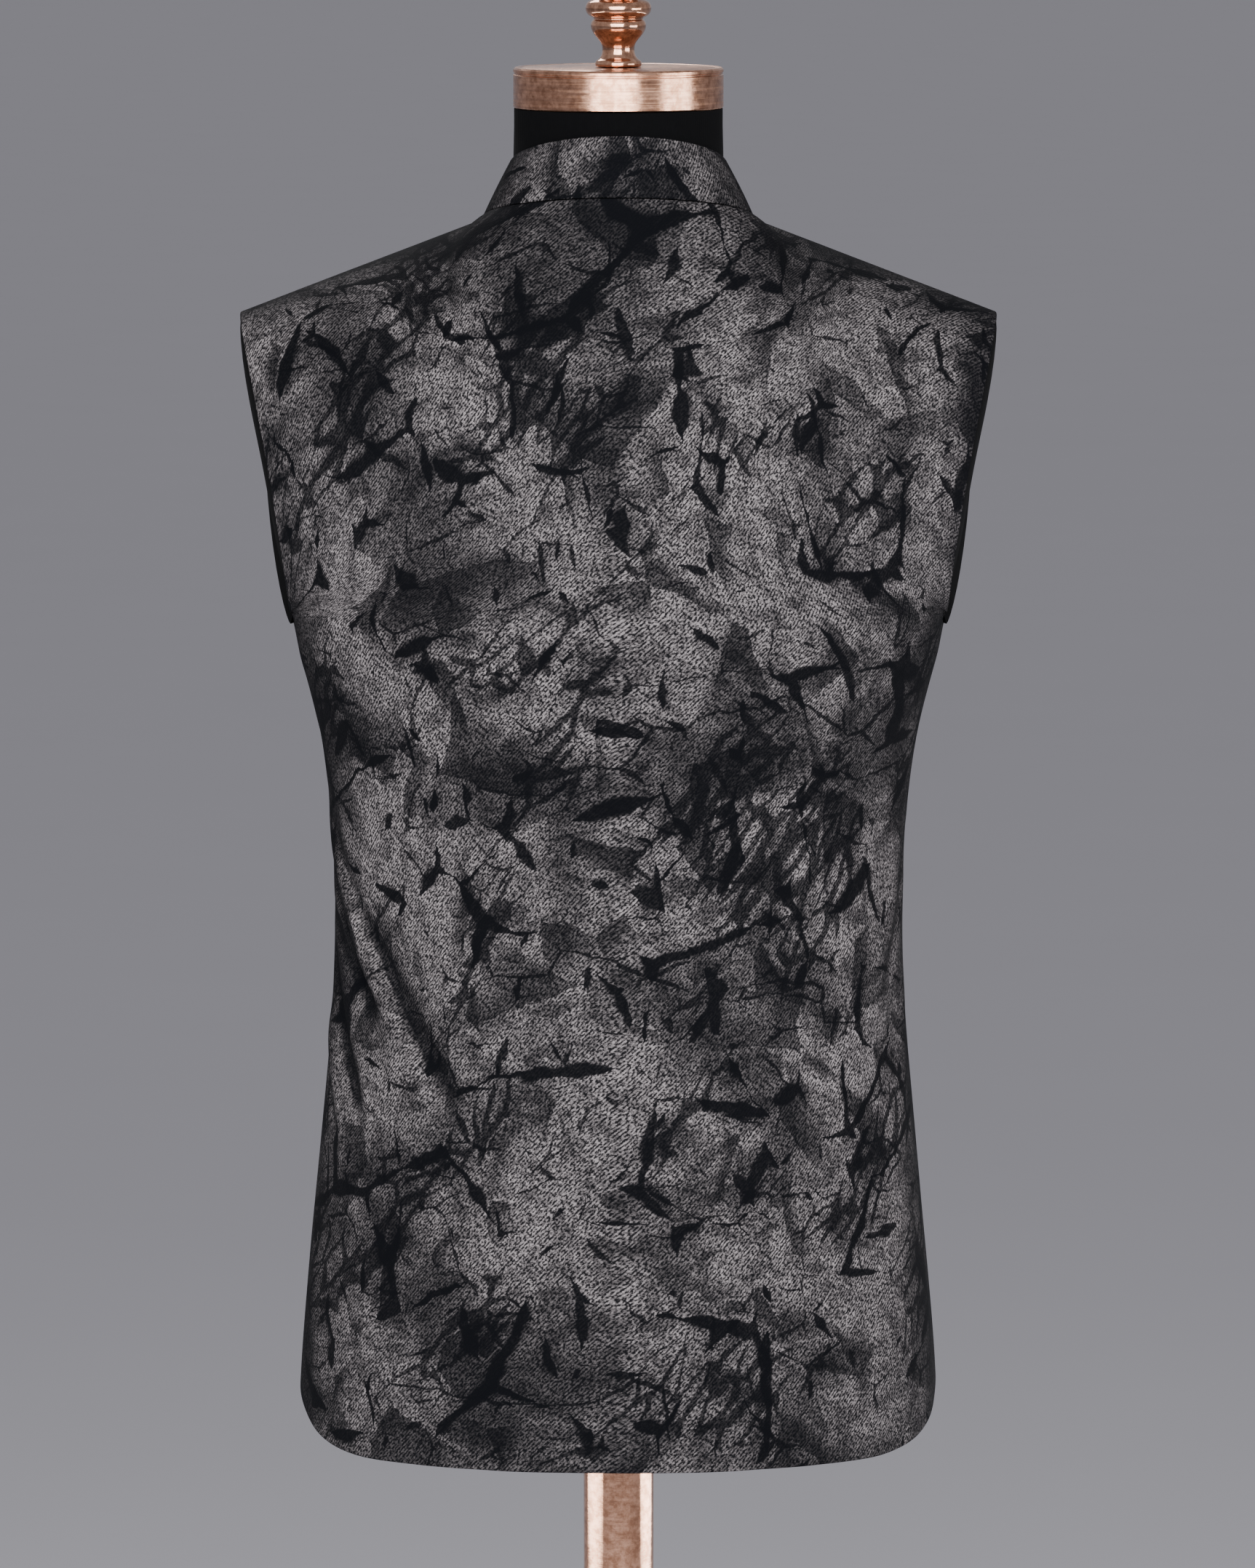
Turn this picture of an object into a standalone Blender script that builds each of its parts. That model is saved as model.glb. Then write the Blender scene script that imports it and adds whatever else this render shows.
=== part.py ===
"""A sleeveless stand-collar jacket, buttoned on a limbless dress form with a turned stand.

The wearer's front faces -Y and the wearer's left is +X. The origin is at the bottom centre of the stand.
Sizes are in millimetres and heights of the cloth count from the nape seam, until a mesh is made from them.
"""

import math
from typing import NamedTuple

import bmesh
import bpy
import numpy as np
from mathutils import Matrix, Vector

MM = 0.001
NAPE_HEIGHT = 1450.0  # the collar seam at the centre back, above the floor

# Cloth
CLOTH = 2.0
COLLAR_CLOTH = 1.6
SEAM_GAP = 0.3
OVERLAP = 22.0  # each front passes the centre line by this much
LAYER_STEP = CLOTH + 0.6  # how far the under front lies inside the upper one
LAYER_START = 25.0  # this far from the centre line the under front starts to come back out
LAYER_EASE = 38.0

# Neckline: an egg-shaped ring that falls evenly from the nape and faster in front
NECK_HALF_WIDTH = 77.8
NECK_CENTRE = -12.0
NECK_HALF_DEPTH = 72.0
NECK_TILT = 0.20
NECK_FRONT_DROP = 33.5

# Shoulders
TIP = (217.0, -8.0, -69.5)
NECK_BLEND = 0.22  # past the neck point, the share over which the cloth turns square to the seam

# Stand collar
COLLAR_HALF_WIDTH = 62.1
COLLAR_CENTRE = -8.0
COLLAR_BACK = 62.0
COLLAR_FRONT = 64.0
COLLAR_RISE = 34.4
COLLAR_TILT = 0.30
COLLAR_FRONT_DROP = 26.6
COLLAR_CORNER = 14.0
COLLAR_OPENING = 3.0  # half the gap between its two ends
COLLAR_LIFT = SEAM_GAP + 0.15

# Hem
HEM = -720.0
HEM_RISE = 31.4  # how much higher the hem is at the side seams
HEM_RISE_WIDTH = 97.0
HEM_RISE_POWER = 2.4
FRONT_CORNER = 32.0

# Body below the armholes
UNDERARM = -243.0
BACK_SQUARENESS = 2.25
FRONT_SQUARENESS = 2.2


class Section(NamedTuple):
    """A level of the body, closed from side seam to side seam."""

    height: float
    half_width: float
    back: float
    front: float


BODY = (
    Section(height=-760, half_width=188.0, back=124.5, front=124.5),
    Section(height=-682, half_width=185.0, back=123.5, front=123.0),
    Section(height=-610, half_width=178.8, back=119.5, front=120.5),
    Section(height=-528, half_width=171.0, back=111.0, front=117.5),
    Section(height=-465, half_width=165.7, back=103.5, front=116.0),
    Section(height=-409, half_width=164.2, back=100.0, front=117.0),
    Section(height=-345, half_width=167.3, back=103.5, front=121.5),
    Section(height=-302, half_width=173.8, back=109.0, front=126.0),
    Section(height=-266, half_width=182.7, back=114.5, front=129.5),
    Section(height=-243, half_width=187.7, back=117.0, front=131.0),
)


class Level(NamedTuple):
    """A level of one panel beside the armhole, from the panel's middle to the armhole's edge."""

    mid_height: float
    edge_height: float
    edge_width: float
    mid_depth: float
    edge_depth: float
    wrap: float  # the share of a quarter turn that the level bends through


BACK_LEVELS = (
    Level(mid_height=-215, edge_height=-239, edge_width=188.3, mid_depth=118.5, edge_depth=23, wrap=0.88),
    Level(mid_height=-184, edge_height=-218, edge_width=190.0, mid_depth=119.5, edge_depth=45, wrap=0.76),
    Level(mid_height=-148, edge_height=-182, edge_width=194.5, mid_depth=118.0, edge_depth=57, wrap=0.66),
    Level(mid_height=-106, edge_height=-140, edge_width=201.5, mid_depth=110.0, edge_depth=55, wrap=0.60),
)
FRONT_LEVELS = (
    Level(mid_height=-222, edge_height=-240, edge_width=186.5, mid_depth=131.0, edge_depth=24, wrap=0.88),
    Level(mid_height=-198, edge_height=-220, edge_width=182.5, mid_depth=129.0, edge_depth=50, wrap=0.76),
    Level(mid_height=-166, edge_height=-183, edge_width=180.0, mid_depth=123.5, edge_depth=66, wrap=0.66),
    Level(mid_height=-128, edge_height=-140, edge_width=187.5, mid_depth=113.0, edge_depth=61, wrap=0.60),
)


class Half(NamedTuple):
    """What makes the back differ from the front."""

    sign: float  # +1 toward the back, -1 toward the front
    squareness: float
    levels: tuple
    neck_lean: float  # the lean of the cloth at the middle of the neckline, from upright


BACK = Half(sign=1.0, squareness=BACK_SQUARENESS, levels=BACK_LEVELS, neck_lean=math.radians(20))
FRONT = Half(sign=-1.0, squareness=FRONT_SQUARENESS, levels=FRONT_LEVELS, neck_lean=math.radians(20))


class Fold(NamedTuple):
    """A soft drag fold, straight between two places given as share of the half width and height."""

    half: Half
    from_share: float
    from_height: float
    to_share: float
    to_height: float
    rise: float
    width: float


FOLDS = (
    Fold(half=BACK, from_share=0.90, from_height=-375, to_share=0.44, to_height=-530, rise=2.6, width=15),
    Fold(half=BACK, from_share=0.88, from_height=-432, to_share=0.62, to_height=-520, rise=-2.2, width=13),
    Fold(half=BACK, from_share=0.92, from_height=-490, to_share=0.74, to_height=-570, rise=1.8, width=13),
    Fold(half=BACK, from_share=-0.90, from_height=-392, to_share=-0.60, to_height=-500, rise=1.6, width=15),
    Fold(half=FRONT, from_share=0.88, from_height=-380, to_share=0.52, to_height=-500, rise=1.8, width=15),
    Fold(half=FRONT, from_share=-0.88, from_height=-396, to_share=-0.55, to_height=-520, rise=2.0, width=15),
)

# How finely the cloth is divided
NECK_SHARE = 0.40  # the column at this share of the half width meets the neck point
NECK_COLUMNS = 8
NECK_CROWDING = 0.26  # how much closer the columns lie to each other at the middle of the neckline
SHOULDER_COLUMNS = 9
OVERLAP_STEPS = (-1.0, -0.82, -0.45)
COLLAR_ROWS = 3
CORNER_STEPS = (1.0, 0.62, 0.30, 0.08, 0.0)
BODY_ROWS = 14
ARMHOLE_ROWS = 12
MEAN_HALF_WIDTH = 175.0
MEAN_DEPTH = 115.0
HALF_ARC = 240.0  # the half width of a panel along the cloth, about the same at each level

# Buttons
BUTTON_HEIGHTS = tuple(-92.0 - 94.0 * i for i in range(6))
BUTTON_PROFILE = (  # radius and height: underside, edge, raised rim and dished face
    (6.1, 0.0), (8.0, 0.6), (8.5, 1.6), (8.1, 3.1), (7.3, 3.6), (6.3, 3.3), (5.1, 2.5),
)
BUTTON_LIFT = SEAM_GAP + 0.1
BUTTON_SIDES = 16

# Dress form
REST_GAP = 0.6  # between the cloth and the shoulders that carry it
SHOULDER_CLEARANCE = CLOTH + REST_GAP
WAIST_CLEARANCE = 9.0
REST_HEIGHT = -110.0  # the cloth rests on the form above this
FREE_HEIGHT = -360.0  # and hangs clear of it by the full clearance below this
PLACKET_CLEARANCE = LAYER_STEP + 0.4  # more room behind the overlapping fronts
FORM_BOTTOM = -640.0
FORM_BOTTOM_ROUND = 14.0
FORM_BODY_ROWS = 6
ARM_PLATE_BULGE = 9.0
ARM_PLATE_RINGS = ((0.72, 0.55), (0.40, 0.88))  # share of the way out from the middle, share of the bulge
NECK_TOP = 47.0
NECK_TOP_RADIUS = 59.6
NECK_ROWS = (0.15, 0.5, 0.95)  # shares of the collar's height
COLLAR_CLEARANCE = COLLAR_CLOTH + 1.5

# Turned metal: radius and height, from the bottom to the top
METAL_SIDES = 40
CAP_PROFILE = (
    (59.0, 0.0), (60.0, 1.0), (60.0, 19.6), (59.2, 20.2),
    (59.2, 20.9), (60.0, 21.4), (60.0, 22.3), (59.2, 23.0),
)
CAP_HEIGHT = 23.0
FINIAL_PROFILE = (
    (12.4, 0.0), (13.2, 1.0), (13.2, 3.6), (10.6, 4.8), (9.0, 8.0), (9.6, 12.0),
    (12.4, 14.8), (14.8, 16.4), (15.4, 19.6), (15.0, 23.6), (13.0, 25.8), (15.4, 27.2),
    (19.0, 29.6), (19.4, 32.0), (18.4, 34.4), (13.4, 37.0), (9.0, 39.4), (8.6, 41.6),
    (12.6, 44.4), (16.6, 49.2), (17.8, 55.0), (16.4, 61.0), (12.2, 66.0), (6.0, 69.4),
)
FINIAL_SIDES = 24
POLE_RADIUS = 20.5
BOSS_TOP = 46.0
SOCKET_FLOOR = 18.0
BASE_PROFILE = (  # a plate with a rounded edge, and a boss for the pole
    (179.0, 0.0), (180.0, 1.0), (180.0, 10.0), (179.2, 13.0), (177.0, 15.2), (174.0, 16.0),
    (56.0, 18.0), (40.0, 24.0), (34.0, 32.0), (34.0, BOSS_TOP - 3.0), (31.0, BOSS_TOP),
)


def smooth(x):
    """0 below 0, 1 above 1, and an even ease between."""
    x = np.clip(x, 0.0, 1.0)
    return x * x * (3.0 - 2.0 * x)


def spline(knots, values, start, end, at):
    """A cubic spline through the values, with given slopes at its two ends, read at some places."""
    knots = np.asarray(knots, float)
    values = np.asarray(values, float)
    step = np.diff(knots)
    count = len(knots)
    matrix = np.eye(count)
    right = np.zeros_like(values)
    right[0] = start
    right[-1] = end
    slope = np.diff(values, axis=0) / step.reshape((-1,) + (1,) * (values.ndim - 1))
    for i in range(1, count - 1):
        matrix[i, i - 1] = 1.0 / step[i - 1]
        matrix[i, i] = 2.0 / step[i - 1] + 2.0 / step[i]
        matrix[i, i + 1] = 1.0 / step[i]
        right[i] = 3.0 * (slope[i - 1] / step[i - 1] + slope[i] / step[i])
    slopes = np.linalg.solve(matrix, right)
    at = np.asarray(at, float)
    left = np.clip(np.searchsorted(knots, at) - 1, 0, count - 2)
    h = step[left]
    u = (at - knots[left]) / h
    shape = (-1,) + (1,) * (values.ndim - 1)
    u = u.reshape(shape)
    h = h.reshape(shape)
    return (
        values[left] * (1 - u) ** 2 * (1 + 2 * u)
        + values[left + 1] * u**2 * (3 - 2 * u)
        + slopes[left] * h * u * (1 - u) ** 2
        - slopes[left + 1] * h * u**2 * (1 - u)
    )


def body_size(height):
    """Half width, back depth and front depth at each height."""
    knots = [s.height for s in BODY]
    sizes = np.array([s[1:] for s in BODY], float)
    first = (sizes[1] - sizes[0]) / (knots[1] - knots[0])
    last = (sizes[-1] - sizes[-2]) / (knots[-1] - knots[-2])
    return spline(knots, sizes, first, last, np.ravel(height)).reshape(np.shape(height) + (3,))


def angle_at(share):
    """The angle round a mean section at which a share of its arc is reached, with the share's sign."""
    angles = np.linspace(0.0, math.pi / 2, 400)
    points = np.stack([MEAN_HALF_WIDTH * np.sin(angles), MEAN_DEPTH * np.cos(angles)], 1)
    arc = np.concatenate([[0.0], np.cumsum(np.linalg.norm(np.diff(points, axis=0), axis=1))])
    return np.sign(share) * np.interp(np.abs(share), arc / arc[-1], angles)


def rounded(value, squareness):
    """A sine or cosine raised to the power that squares a section's corners."""
    return np.sign(value) * np.abs(value) ** (2.0 / squareness)


def body_point(half, angle, height):
    """Points of the body below the armholes."""
    size = body_size(height)
    depth = size[..., 1] if half.sign > 0 else size[..., 2]
    x = size[..., 0] * rounded(np.sin(angle), half.squareness)
    y = half.sign * depth * rounded(np.cos(angle), half.squareness)
    return np.stack([x, y, height + 0.0 * x], -1)


def level_width(half, level):
    """The half width that a level would have if it bent on through a whole quarter turn."""
    return level.edge_width / rounded(math.sin(level.wrap * math.pi / 2), half.squareness)


def armhole_point(half, level, angle, share):
    """A point of one level beside the armhole."""
    limit = level.wrap * math.pi / 2
    turned_to = level.wrap * angle
    x = level_width(half, level) * rounded(np.sin(turned_to), half.squareness)
    edge = rounded(math.cos(limit), half.squareness)
    bend = (rounded(np.cos(turned_to), half.squareness) - edge) / (1.0 - edge)
    y = half.sign * (level.edge_depth + (level.mid_depth - level.edge_depth) * bend)
    z = level.mid_height + (level.edge_height - level.mid_height) * abs(share) ** 3
    return np.array([x, y, z])


def neckline(turn):
    """Points of the neck ring. The turn is 0 at the nape and half a circle at the centre front."""
    x = NECK_HALF_WIDTH * np.sin(turn)
    y = NECK_CENTRE + NECK_HALF_DEPTH * np.cos(turn)
    back_off = NECK_CENTRE + NECK_HALF_DEPTH - y
    z = -NECK_TILT * back_off - NECK_FRONT_DROP * (back_off / (2 * NECK_HALF_DEPTH)) ** 4
    return np.stack([x, y, z], -1)


def unit(vector):
    return vector / np.linalg.norm(vector)


def neck_turn(share):
    """How far round the neckline a column arrives, from its middle. The neck point is a quarter turn away."""
    reach = min(abs(share) / NECK_SHARE, 1.0)
    return math.copysign(math.pi / 2 * reach * (1.0 - NECK_CROWDING * (1.0 - reach)), share)


def top_point(half, share, turn):
    """Where a column ends: on the neckline, or past the neck point on the shoulder seam."""
    ring = neckline(turn if half.sign > 0 else math.pi - turn)
    along = max((abs(share) - NECK_SHARE) / (1.0 - NECK_SHARE), 0.0)
    shoulder = (np.array(TIP) - neckline(math.pi / 2)) * np.array([math.copysign(1.0, turn), 1.0, 1.0])
    return ring + along * shoulder


def top_direction(half, share, turn):
    """The way a column reaches its end, level over the shoulder seam and nearly upright at the centre."""
    side = math.copysign(1.0, turn)
    uphill = unit(neckline(math.pi / 2) - np.array(TIP)) * np.array([side, 1.0, 1.0])
    level = np.array([0.0, -half.sign, 0.0])
    if abs(share) >= NECK_SHARE:
        return unit(level + uphill * (1.0 - smooth((abs(share) - NECK_SHARE) / NECK_BLEND)))
    reach = abs(turn) / (math.pi / 2)
    slope = math.acos(abs(uphill[2]))
    lean = half.neck_lean + (slope - half.neck_lean) * smooth(reach)
    inward = np.array([-math.sin(turn), -half.sign * math.cos(turn), 0.0])
    across = np.array([side * math.cos(turn), -half.sign * math.sin(abs(turn)), 0.0])
    return unit(math.cos(lean) * np.array([0.0, 0.0, 1.0]) + math.sin(lean) * inward + across * reach**3)


class Column(NamedTuple):
    """A column of a half, placed by its share of the half width or, past the centre front, in mm."""

    share: float
    across: float | None = None


def angle_across(across, half_width, half):
    """The angle of a squared section at which it is a distance from the centre line."""
    return math.copysign(math.asin((abs(across) / half_width) ** (half.squareness / 2)), across)


def column_points(half, column, low, body_rows, top_gap):
    """One column of a half, from its lower end to its end at the neckline or the shoulder seam."""
    share, across = column
    heights = low + (UNDERARM - low) * np.linspace(0.0, 1.0, body_rows + 1)
    if across is None:
        angles = np.full(len(heights), angle_at(share))
        turn = neck_turn(share)
        level_angles = [angle_at(share)] * len(half.levels)
    else:
        widths = body_size(heights)[:, 0]
        angles = np.array([angle_across(across, width, half) for width in widths])
        turn = math.asin(across / NECK_HALF_WIDTH)
        level_angles = [
            angle_across(across, level_width(half, level), half) / level.wrap for level in half.levels
        ]
    body = body_point(half, angles, heights)
    levels = [armhole_point(half, level, angle, share) for level, angle in zip(half.levels, level_angles)]
    points = np.array([body[-1], *levels, top_point(half, share, turn)])
    chords = np.linalg.norm(np.diff(points, axis=0), axis=1)
    knots = np.concatenate([[0.0], np.cumsum(chords)])
    upward = unit(body[-1] - body_point(half, angles[-1:], np.array([UNDERARM - 5.0]))[0])
    under_arm = np.array([0.0, half.sign, 0.1])
    start = unit(upward + (under_arm - upward) * abs(share) ** 12)
    at = np.linspace(0.0, knots[-1] - top_gap, ARMHOLE_ROWS + 1)[1:]
    upper = spline(knots, points, start, top_direction(half, share, turn), at)
    return np.concatenate([body, upper])


def hem_height(column, edge=None):
    """The height of the hem: it rises toward the side seams and rounds the corner of a front."""
    from_side = (1.0 - abs(column.share)) * HALF_ARC
    height = HEM + HEM_RISE * max(1.0 - from_side / HEM_RISE_WIDTH, 0.0) ** HEM_RISE_POWER
    if edge is not None:
        across = column.share * HALF_ARC if column.across is None else column.across
        inward = min(max(FRONT_CORNER - (across - edge), 0.0), FRONT_CORNER)
        height += FRONT_CORNER - math.sqrt(FRONT_CORNER**2 - inward**2)
    return height


def fold_rise(half, share, height):
    """How far the drag folds lift the cloth at each place."""
    rise = 0.0 * height
    for fold in FOLDS:
        if fold.half is not half:
            continue
        start = np.array([fold.from_share * HALF_ARC, fold.from_height])
        line = np.array([fold.to_share * HALF_ARC, fold.to_height]) - start
        length = np.linalg.norm(line)
        across = share * HALF_ARC - start[0]
        up = height - start[1]
        along = (across * line[0] + up * line[1]) / length**2
        off = (across * line[1] - up * line[0]) / length
        ends = smooth(along * 3 + 0.5) * smooth((1 - along) * 3 + 0.5)
        rise = rise + fold.rise * np.exp(-((off / fold.width) ** 2)) * ends
    return rise


def half_grid(half, columns, top_gap=0.0, edge=None, bottom=None, body_rows=BODY_ROWS):
    """The outer points of part of a half, row by row from its hem or a level bottom to its top edge."""
    made = []
    for column in columns:
        low = hem_height(column, edge) if bottom is None else bottom
        made.append(column_points(half, column, low, body_rows, top_gap))
    return np.stack(made, 1)


def grid_normals(points, outward):
    """Unit normals of a grid of points, turned to the side of the outward hint."""
    along = np.gradient(points, axis=1)
    up = np.gradient(points, axis=0)
    normals = np.cross(along, up)
    normals /= np.linalg.norm(normals, axis=-1, keepdims=True)
    facing = np.sign((normals * outward).sum(-1, keepdims=True))
    return normals * np.where(facing == 0, 1.0, facing)


def half_normals(points, columns):
    """Normals of a half's grid, square to the side and shoulder seams, so that both halves agree there."""
    outward = points * np.array([1.0, 1.0, 0.0])
    normals = grid_normals(points, outward)
    shares = np.array([column.share for column in columns])
    body = len(points) - ARMHOLE_ROWS
    seams = np.zeros(points.shape[:2], bool)
    seams[:body, np.abs(shares) > 0.99] = True
    seams[-1, np.abs(shares) >= NECK_SHARE] = True
    normals[seams, 1] = 0.0
    return normals / np.linalg.norm(normals, axis=-1, keepdims=True)


def lifted(half, points, normals, columns, side=1.0):
    """The grid with its drag folds."""
    shares = side * np.array([column.share for column in columns])[None, :]
    return points + normals * fold_rise(half, shares, points[..., 2])[..., None]


def grid_faces(bm, skin, places):
    """Triangles between the points of a grid, cut alike on both sides of its middle, where the place is 0."""
    for lower, upper in zip(skin, skin[1:]):
        for j, (place, following) in enumerate(zip(places, places[1:])):
            near, far = (j, j + 1) if place + following > 0 else (j + 1, j)
            bm.faces.new((lower[near], lower[far], upper[far]))
            bm.faces.new((lower[near], upper[far], upper[near]))


def cloth_faces(bm, outer, inner, places):
    """A wall between two grids of points, closed round its rim."""
    rows, columns = outer.shape[:2]
    skins = []
    for grid in (outer, inner):
        skins.append([[bm.verts.new(Vector(p) * MM) for p in row] for row in grid])
    for skin in skins:
        grid_faces(bm, skin, places)
    border = [(0, j) for j in range(columns)]
    border += [(i, columns - 1) for i in range(1, rows)]
    border += [(rows - 1, j) for j in range(columns - 2, -1, -1)]
    border += [(i, 0) for i in range(rows - 2, 0, -1)]
    for (i, j), (k, m) in zip(border, border[1:] + border[:1]):
        bm.faces.new((skins[0][i][j], skins[0][k][m], skins[1][k][m], skins[1][i][j]))


def finish(name, bm, material, sharp=math.radians(50), to_world=None):
    """Makes an object from the mesh, facing out, smooth but for its sharp edges."""
    bmesh.ops.recalc_face_normals(bm, faces=bm.faces[:])
    mesh = bpy.data.meshes.new(name)
    bm.to_mesh(mesh)
    bm.free()
    mesh.materials.append(material)
    mesh.shade_smooth()
    mesh.set_sharp_from_angle(angle=sharp)
    made = bpy.data.objects.new(name, mesh)
    made.matrix_world = to_world or Matrix.Translation((0.0, 0.0, NAPE_HEIGHT * MM))
    bpy.context.scene.collection.objects.link(made)
    return made


def cloth_object(name, outer, normals, thickness, places, material):
    bm = bmesh.new()
    cloth_faces(bm, outer, outer - normals * thickness, places)
    return finish(name, bm, material)


def side_columns(gap):
    """Columns from the middle to the side seam, less the gap there."""
    neck = np.linspace(0.0, NECK_SHARE, NECK_COLUMNS + 1)
    shoulder = np.linspace(NECK_SHARE, 1.0 - gap / HALF_ARC, SHOULDER_COLUMNS + 1)
    return [Column(share) for share in (*neck, *shoulder[1:])]


def both_sides(columns):
    """The same columns on both sides of the middle one."""
    return [Column(-column.share) for column in columns[:0:-1]] + columns


def make_back(cloth):
    columns = both_sides(side_columns(SEAM_GAP / 2))
    points = half_grid(BACK, columns, top_gap=SEAM_GAP / 2)
    normals = half_normals(points, columns)
    points = lifted(BACK, points, normals, columns)
    return cloth_object("jacket_back", points, normals, CLOTH, [column.share for column in columns], cloth)


def make_front(name, side, under, cloth):
    """A front from its edge past the centre line out to the side seam. The left one lies on top."""
    overlap = [OVERLAP * step for step in OVERLAP_STEPS]
    columns = [Column(across / HALF_ARC, across) for across in overlap] + side_columns(SEAM_GAP / 2)
    points = half_grid(FRONT, columns, top_gap=SEAM_GAP / 2, edge=-OVERLAP)
    normals = half_normals(points, columns)
    points = lifted(FRONT, points, normals, columns, side)
    if under:
        points = points - normals * LAYER_STEP * placket_depth(points[..., :1], LAYER_START)
    mirror = np.array([side, 1.0, 1.0])
    places = [column.share for column in columns]
    return cloth_object(name, points * mirror, normals * mirror, CLOTH, places, cloth)


def placket_depth(x, start):
    """1 along the centre front and 0 once the cloth is back on the general surface."""
    return 1.0 - smooth((np.abs(x) - start) / LAYER_EASE)


def collar_top(turn):
    """Points of the collar's upper edge."""
    depth = np.where(np.cos(turn) > 0, COLLAR_BACK, COLLAR_FRONT)
    x = COLLAR_HALF_WIDTH * np.sin(turn)
    y = COLLAR_CENTRE + depth * np.cos(turn)
    back_off = COLLAR_CENTRE + COLLAR_BACK - y
    z = COLLAR_RISE - COLLAR_TILT * back_off
    z = z - COLLAR_FRONT_DROP * (back_off / (COLLAR_BACK + COLLAR_FRONT)) ** 4
    return np.stack([x, y, z], -1)


def collar_point(turn, share):
    """Points of the collar's outside, the share being 0 at the neckline and 1 at its upper edge."""
    share = np.asarray(share)[..., None]
    return neckline(turn) * (1.0 - share) + collar_top(turn) * share


def make_collar(cloth):
    """The stand, with its columns on those of the neckline so that both have the same facets."""
    end = math.pi - COLLAR_OPENING / NECK_HALF_WIDTH
    corner = COLLAR_CORNER / NECK_HALF_WIDTH
    quarter = [neck_turn(NECK_SHARE * i / NECK_COLUMNS) for i in range(NECK_COLUMNS + 1)]
    half = quarter + [math.pi - turn for turn in quarter[-2:0:-1]]
    half = [turn for turn in half if turn < end - corner]
    half += [end - corner * step for step in CORNER_STEPS]
    turns = np.array([-turn for turn in half[:0:-1]] + half)
    inward = np.clip(COLLAR_CORNER - (end - np.abs(turns)) * NECK_HALF_WIDTH, 0.0, COLLAR_CORNER)
    slant = np.linalg.norm(collar_top(0.0) - neckline(0.0))
    cut = (COLLAR_CORNER - np.sqrt(COLLAR_CORNER**2 - inward**2)) / slant
    shares = np.linspace(0.0, 1.0, COLLAR_ROWS + 1)[:, None] * (1.0 - cut)[None, :]
    points = collar_point(np.broadcast_to(turns, shares.shape), shares)
    points[..., 2] += COLLAR_LIFT
    normals = grid_normals(points, points * np.array([1.0, 1.0, 0.0]) - np.array([0.0, NECK_CENTRE, 0.0]))
    return cloth_object("jacket_collar", points, normals, COLLAR_CLOTH, turns, cloth)


def turned(name, profile, sides, material, base, to_world=None):
    """A solid turned round the vertical, from a profile of radius and height, closed at both ends."""
    bm = bmesh.new()
    rings = []
    for radius, height in profile:
        ring = []
        for i in range(sides):
            angle = 2 * math.pi * i / sides
            place = Vector((radius * math.cos(angle), radius * math.sin(angle), height + base))
            ring.append(bm.verts.new(place * MM))
        rings.append(ring)
    for lower, upper in zip(rings, rings[1:]):
        for i in range(sides):
            j = (i + 1) % sides
            bm.faces.new((lower[i], lower[j], upper[j], upper[i]))
    bm.faces.new(rings[0])
    bm.faces.new(rings[-1])
    return finish(name, bm, material, sharp=math.radians(35), to_world=to_world or Matrix.Identity(4))


def front_face(height):
    """A place on the centre front at a height, and the way the cloth faces there."""
    middle = column_points(FRONT, Column(0.0), HEM, 200, 0.0)
    i = int(np.argmin(np.abs(middle[:, 2] - height)))
    up = unit(middle[i + 1] - middle[i - 1])
    return middle[i], np.array([0.0, -up[2], up[1]])


def make_buttons(material):
    """Round buttons with a raised rim, down the centre front of the upper layer."""
    for number, height in enumerate(BUTTON_HEIGHTS, 1):
        spot, facing = front_face(height)
        spot = spot + facing * BUTTON_LIFT + np.array([0.0, 0.0, NAPE_HEIGHT])
        turn = Vector(facing).to_track_quat("Z", "Y").to_matrix().to_4x4()
        place = Matrix.Translation(Vector(spot) * MM) @ turn
        turned(f"front_button_{number}", BUTTON_PROFILE, BUTTON_SIDES, material, 0.0, place)


def form_half(half):
    """The form's surface under one half of the jacket, from its bottom to the neckline and shoulder seams."""
    columns = both_sides(side_columns(0.0))
    points = half_grid(half, columns, bottom=FORM_BOTTOM, body_rows=FORM_BODY_ROWS)
    lower = smooth((REST_HEIGHT - points[..., 2:]) / (REST_HEIGHT - FREE_HEIGHT))
    clearance = SHOULDER_CLEARANCE + (WAIST_CLEARANCE - SHOULDER_CLEARANCE) * lower
    if half is FRONT:
        clearance = clearance + PLACKET_CLEARANCE * placket_depth(points[..., :1], LAYER_START + 4.0)
    return points - half_normals(points, columns) * clearance, [column.share for column in columns]


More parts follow.
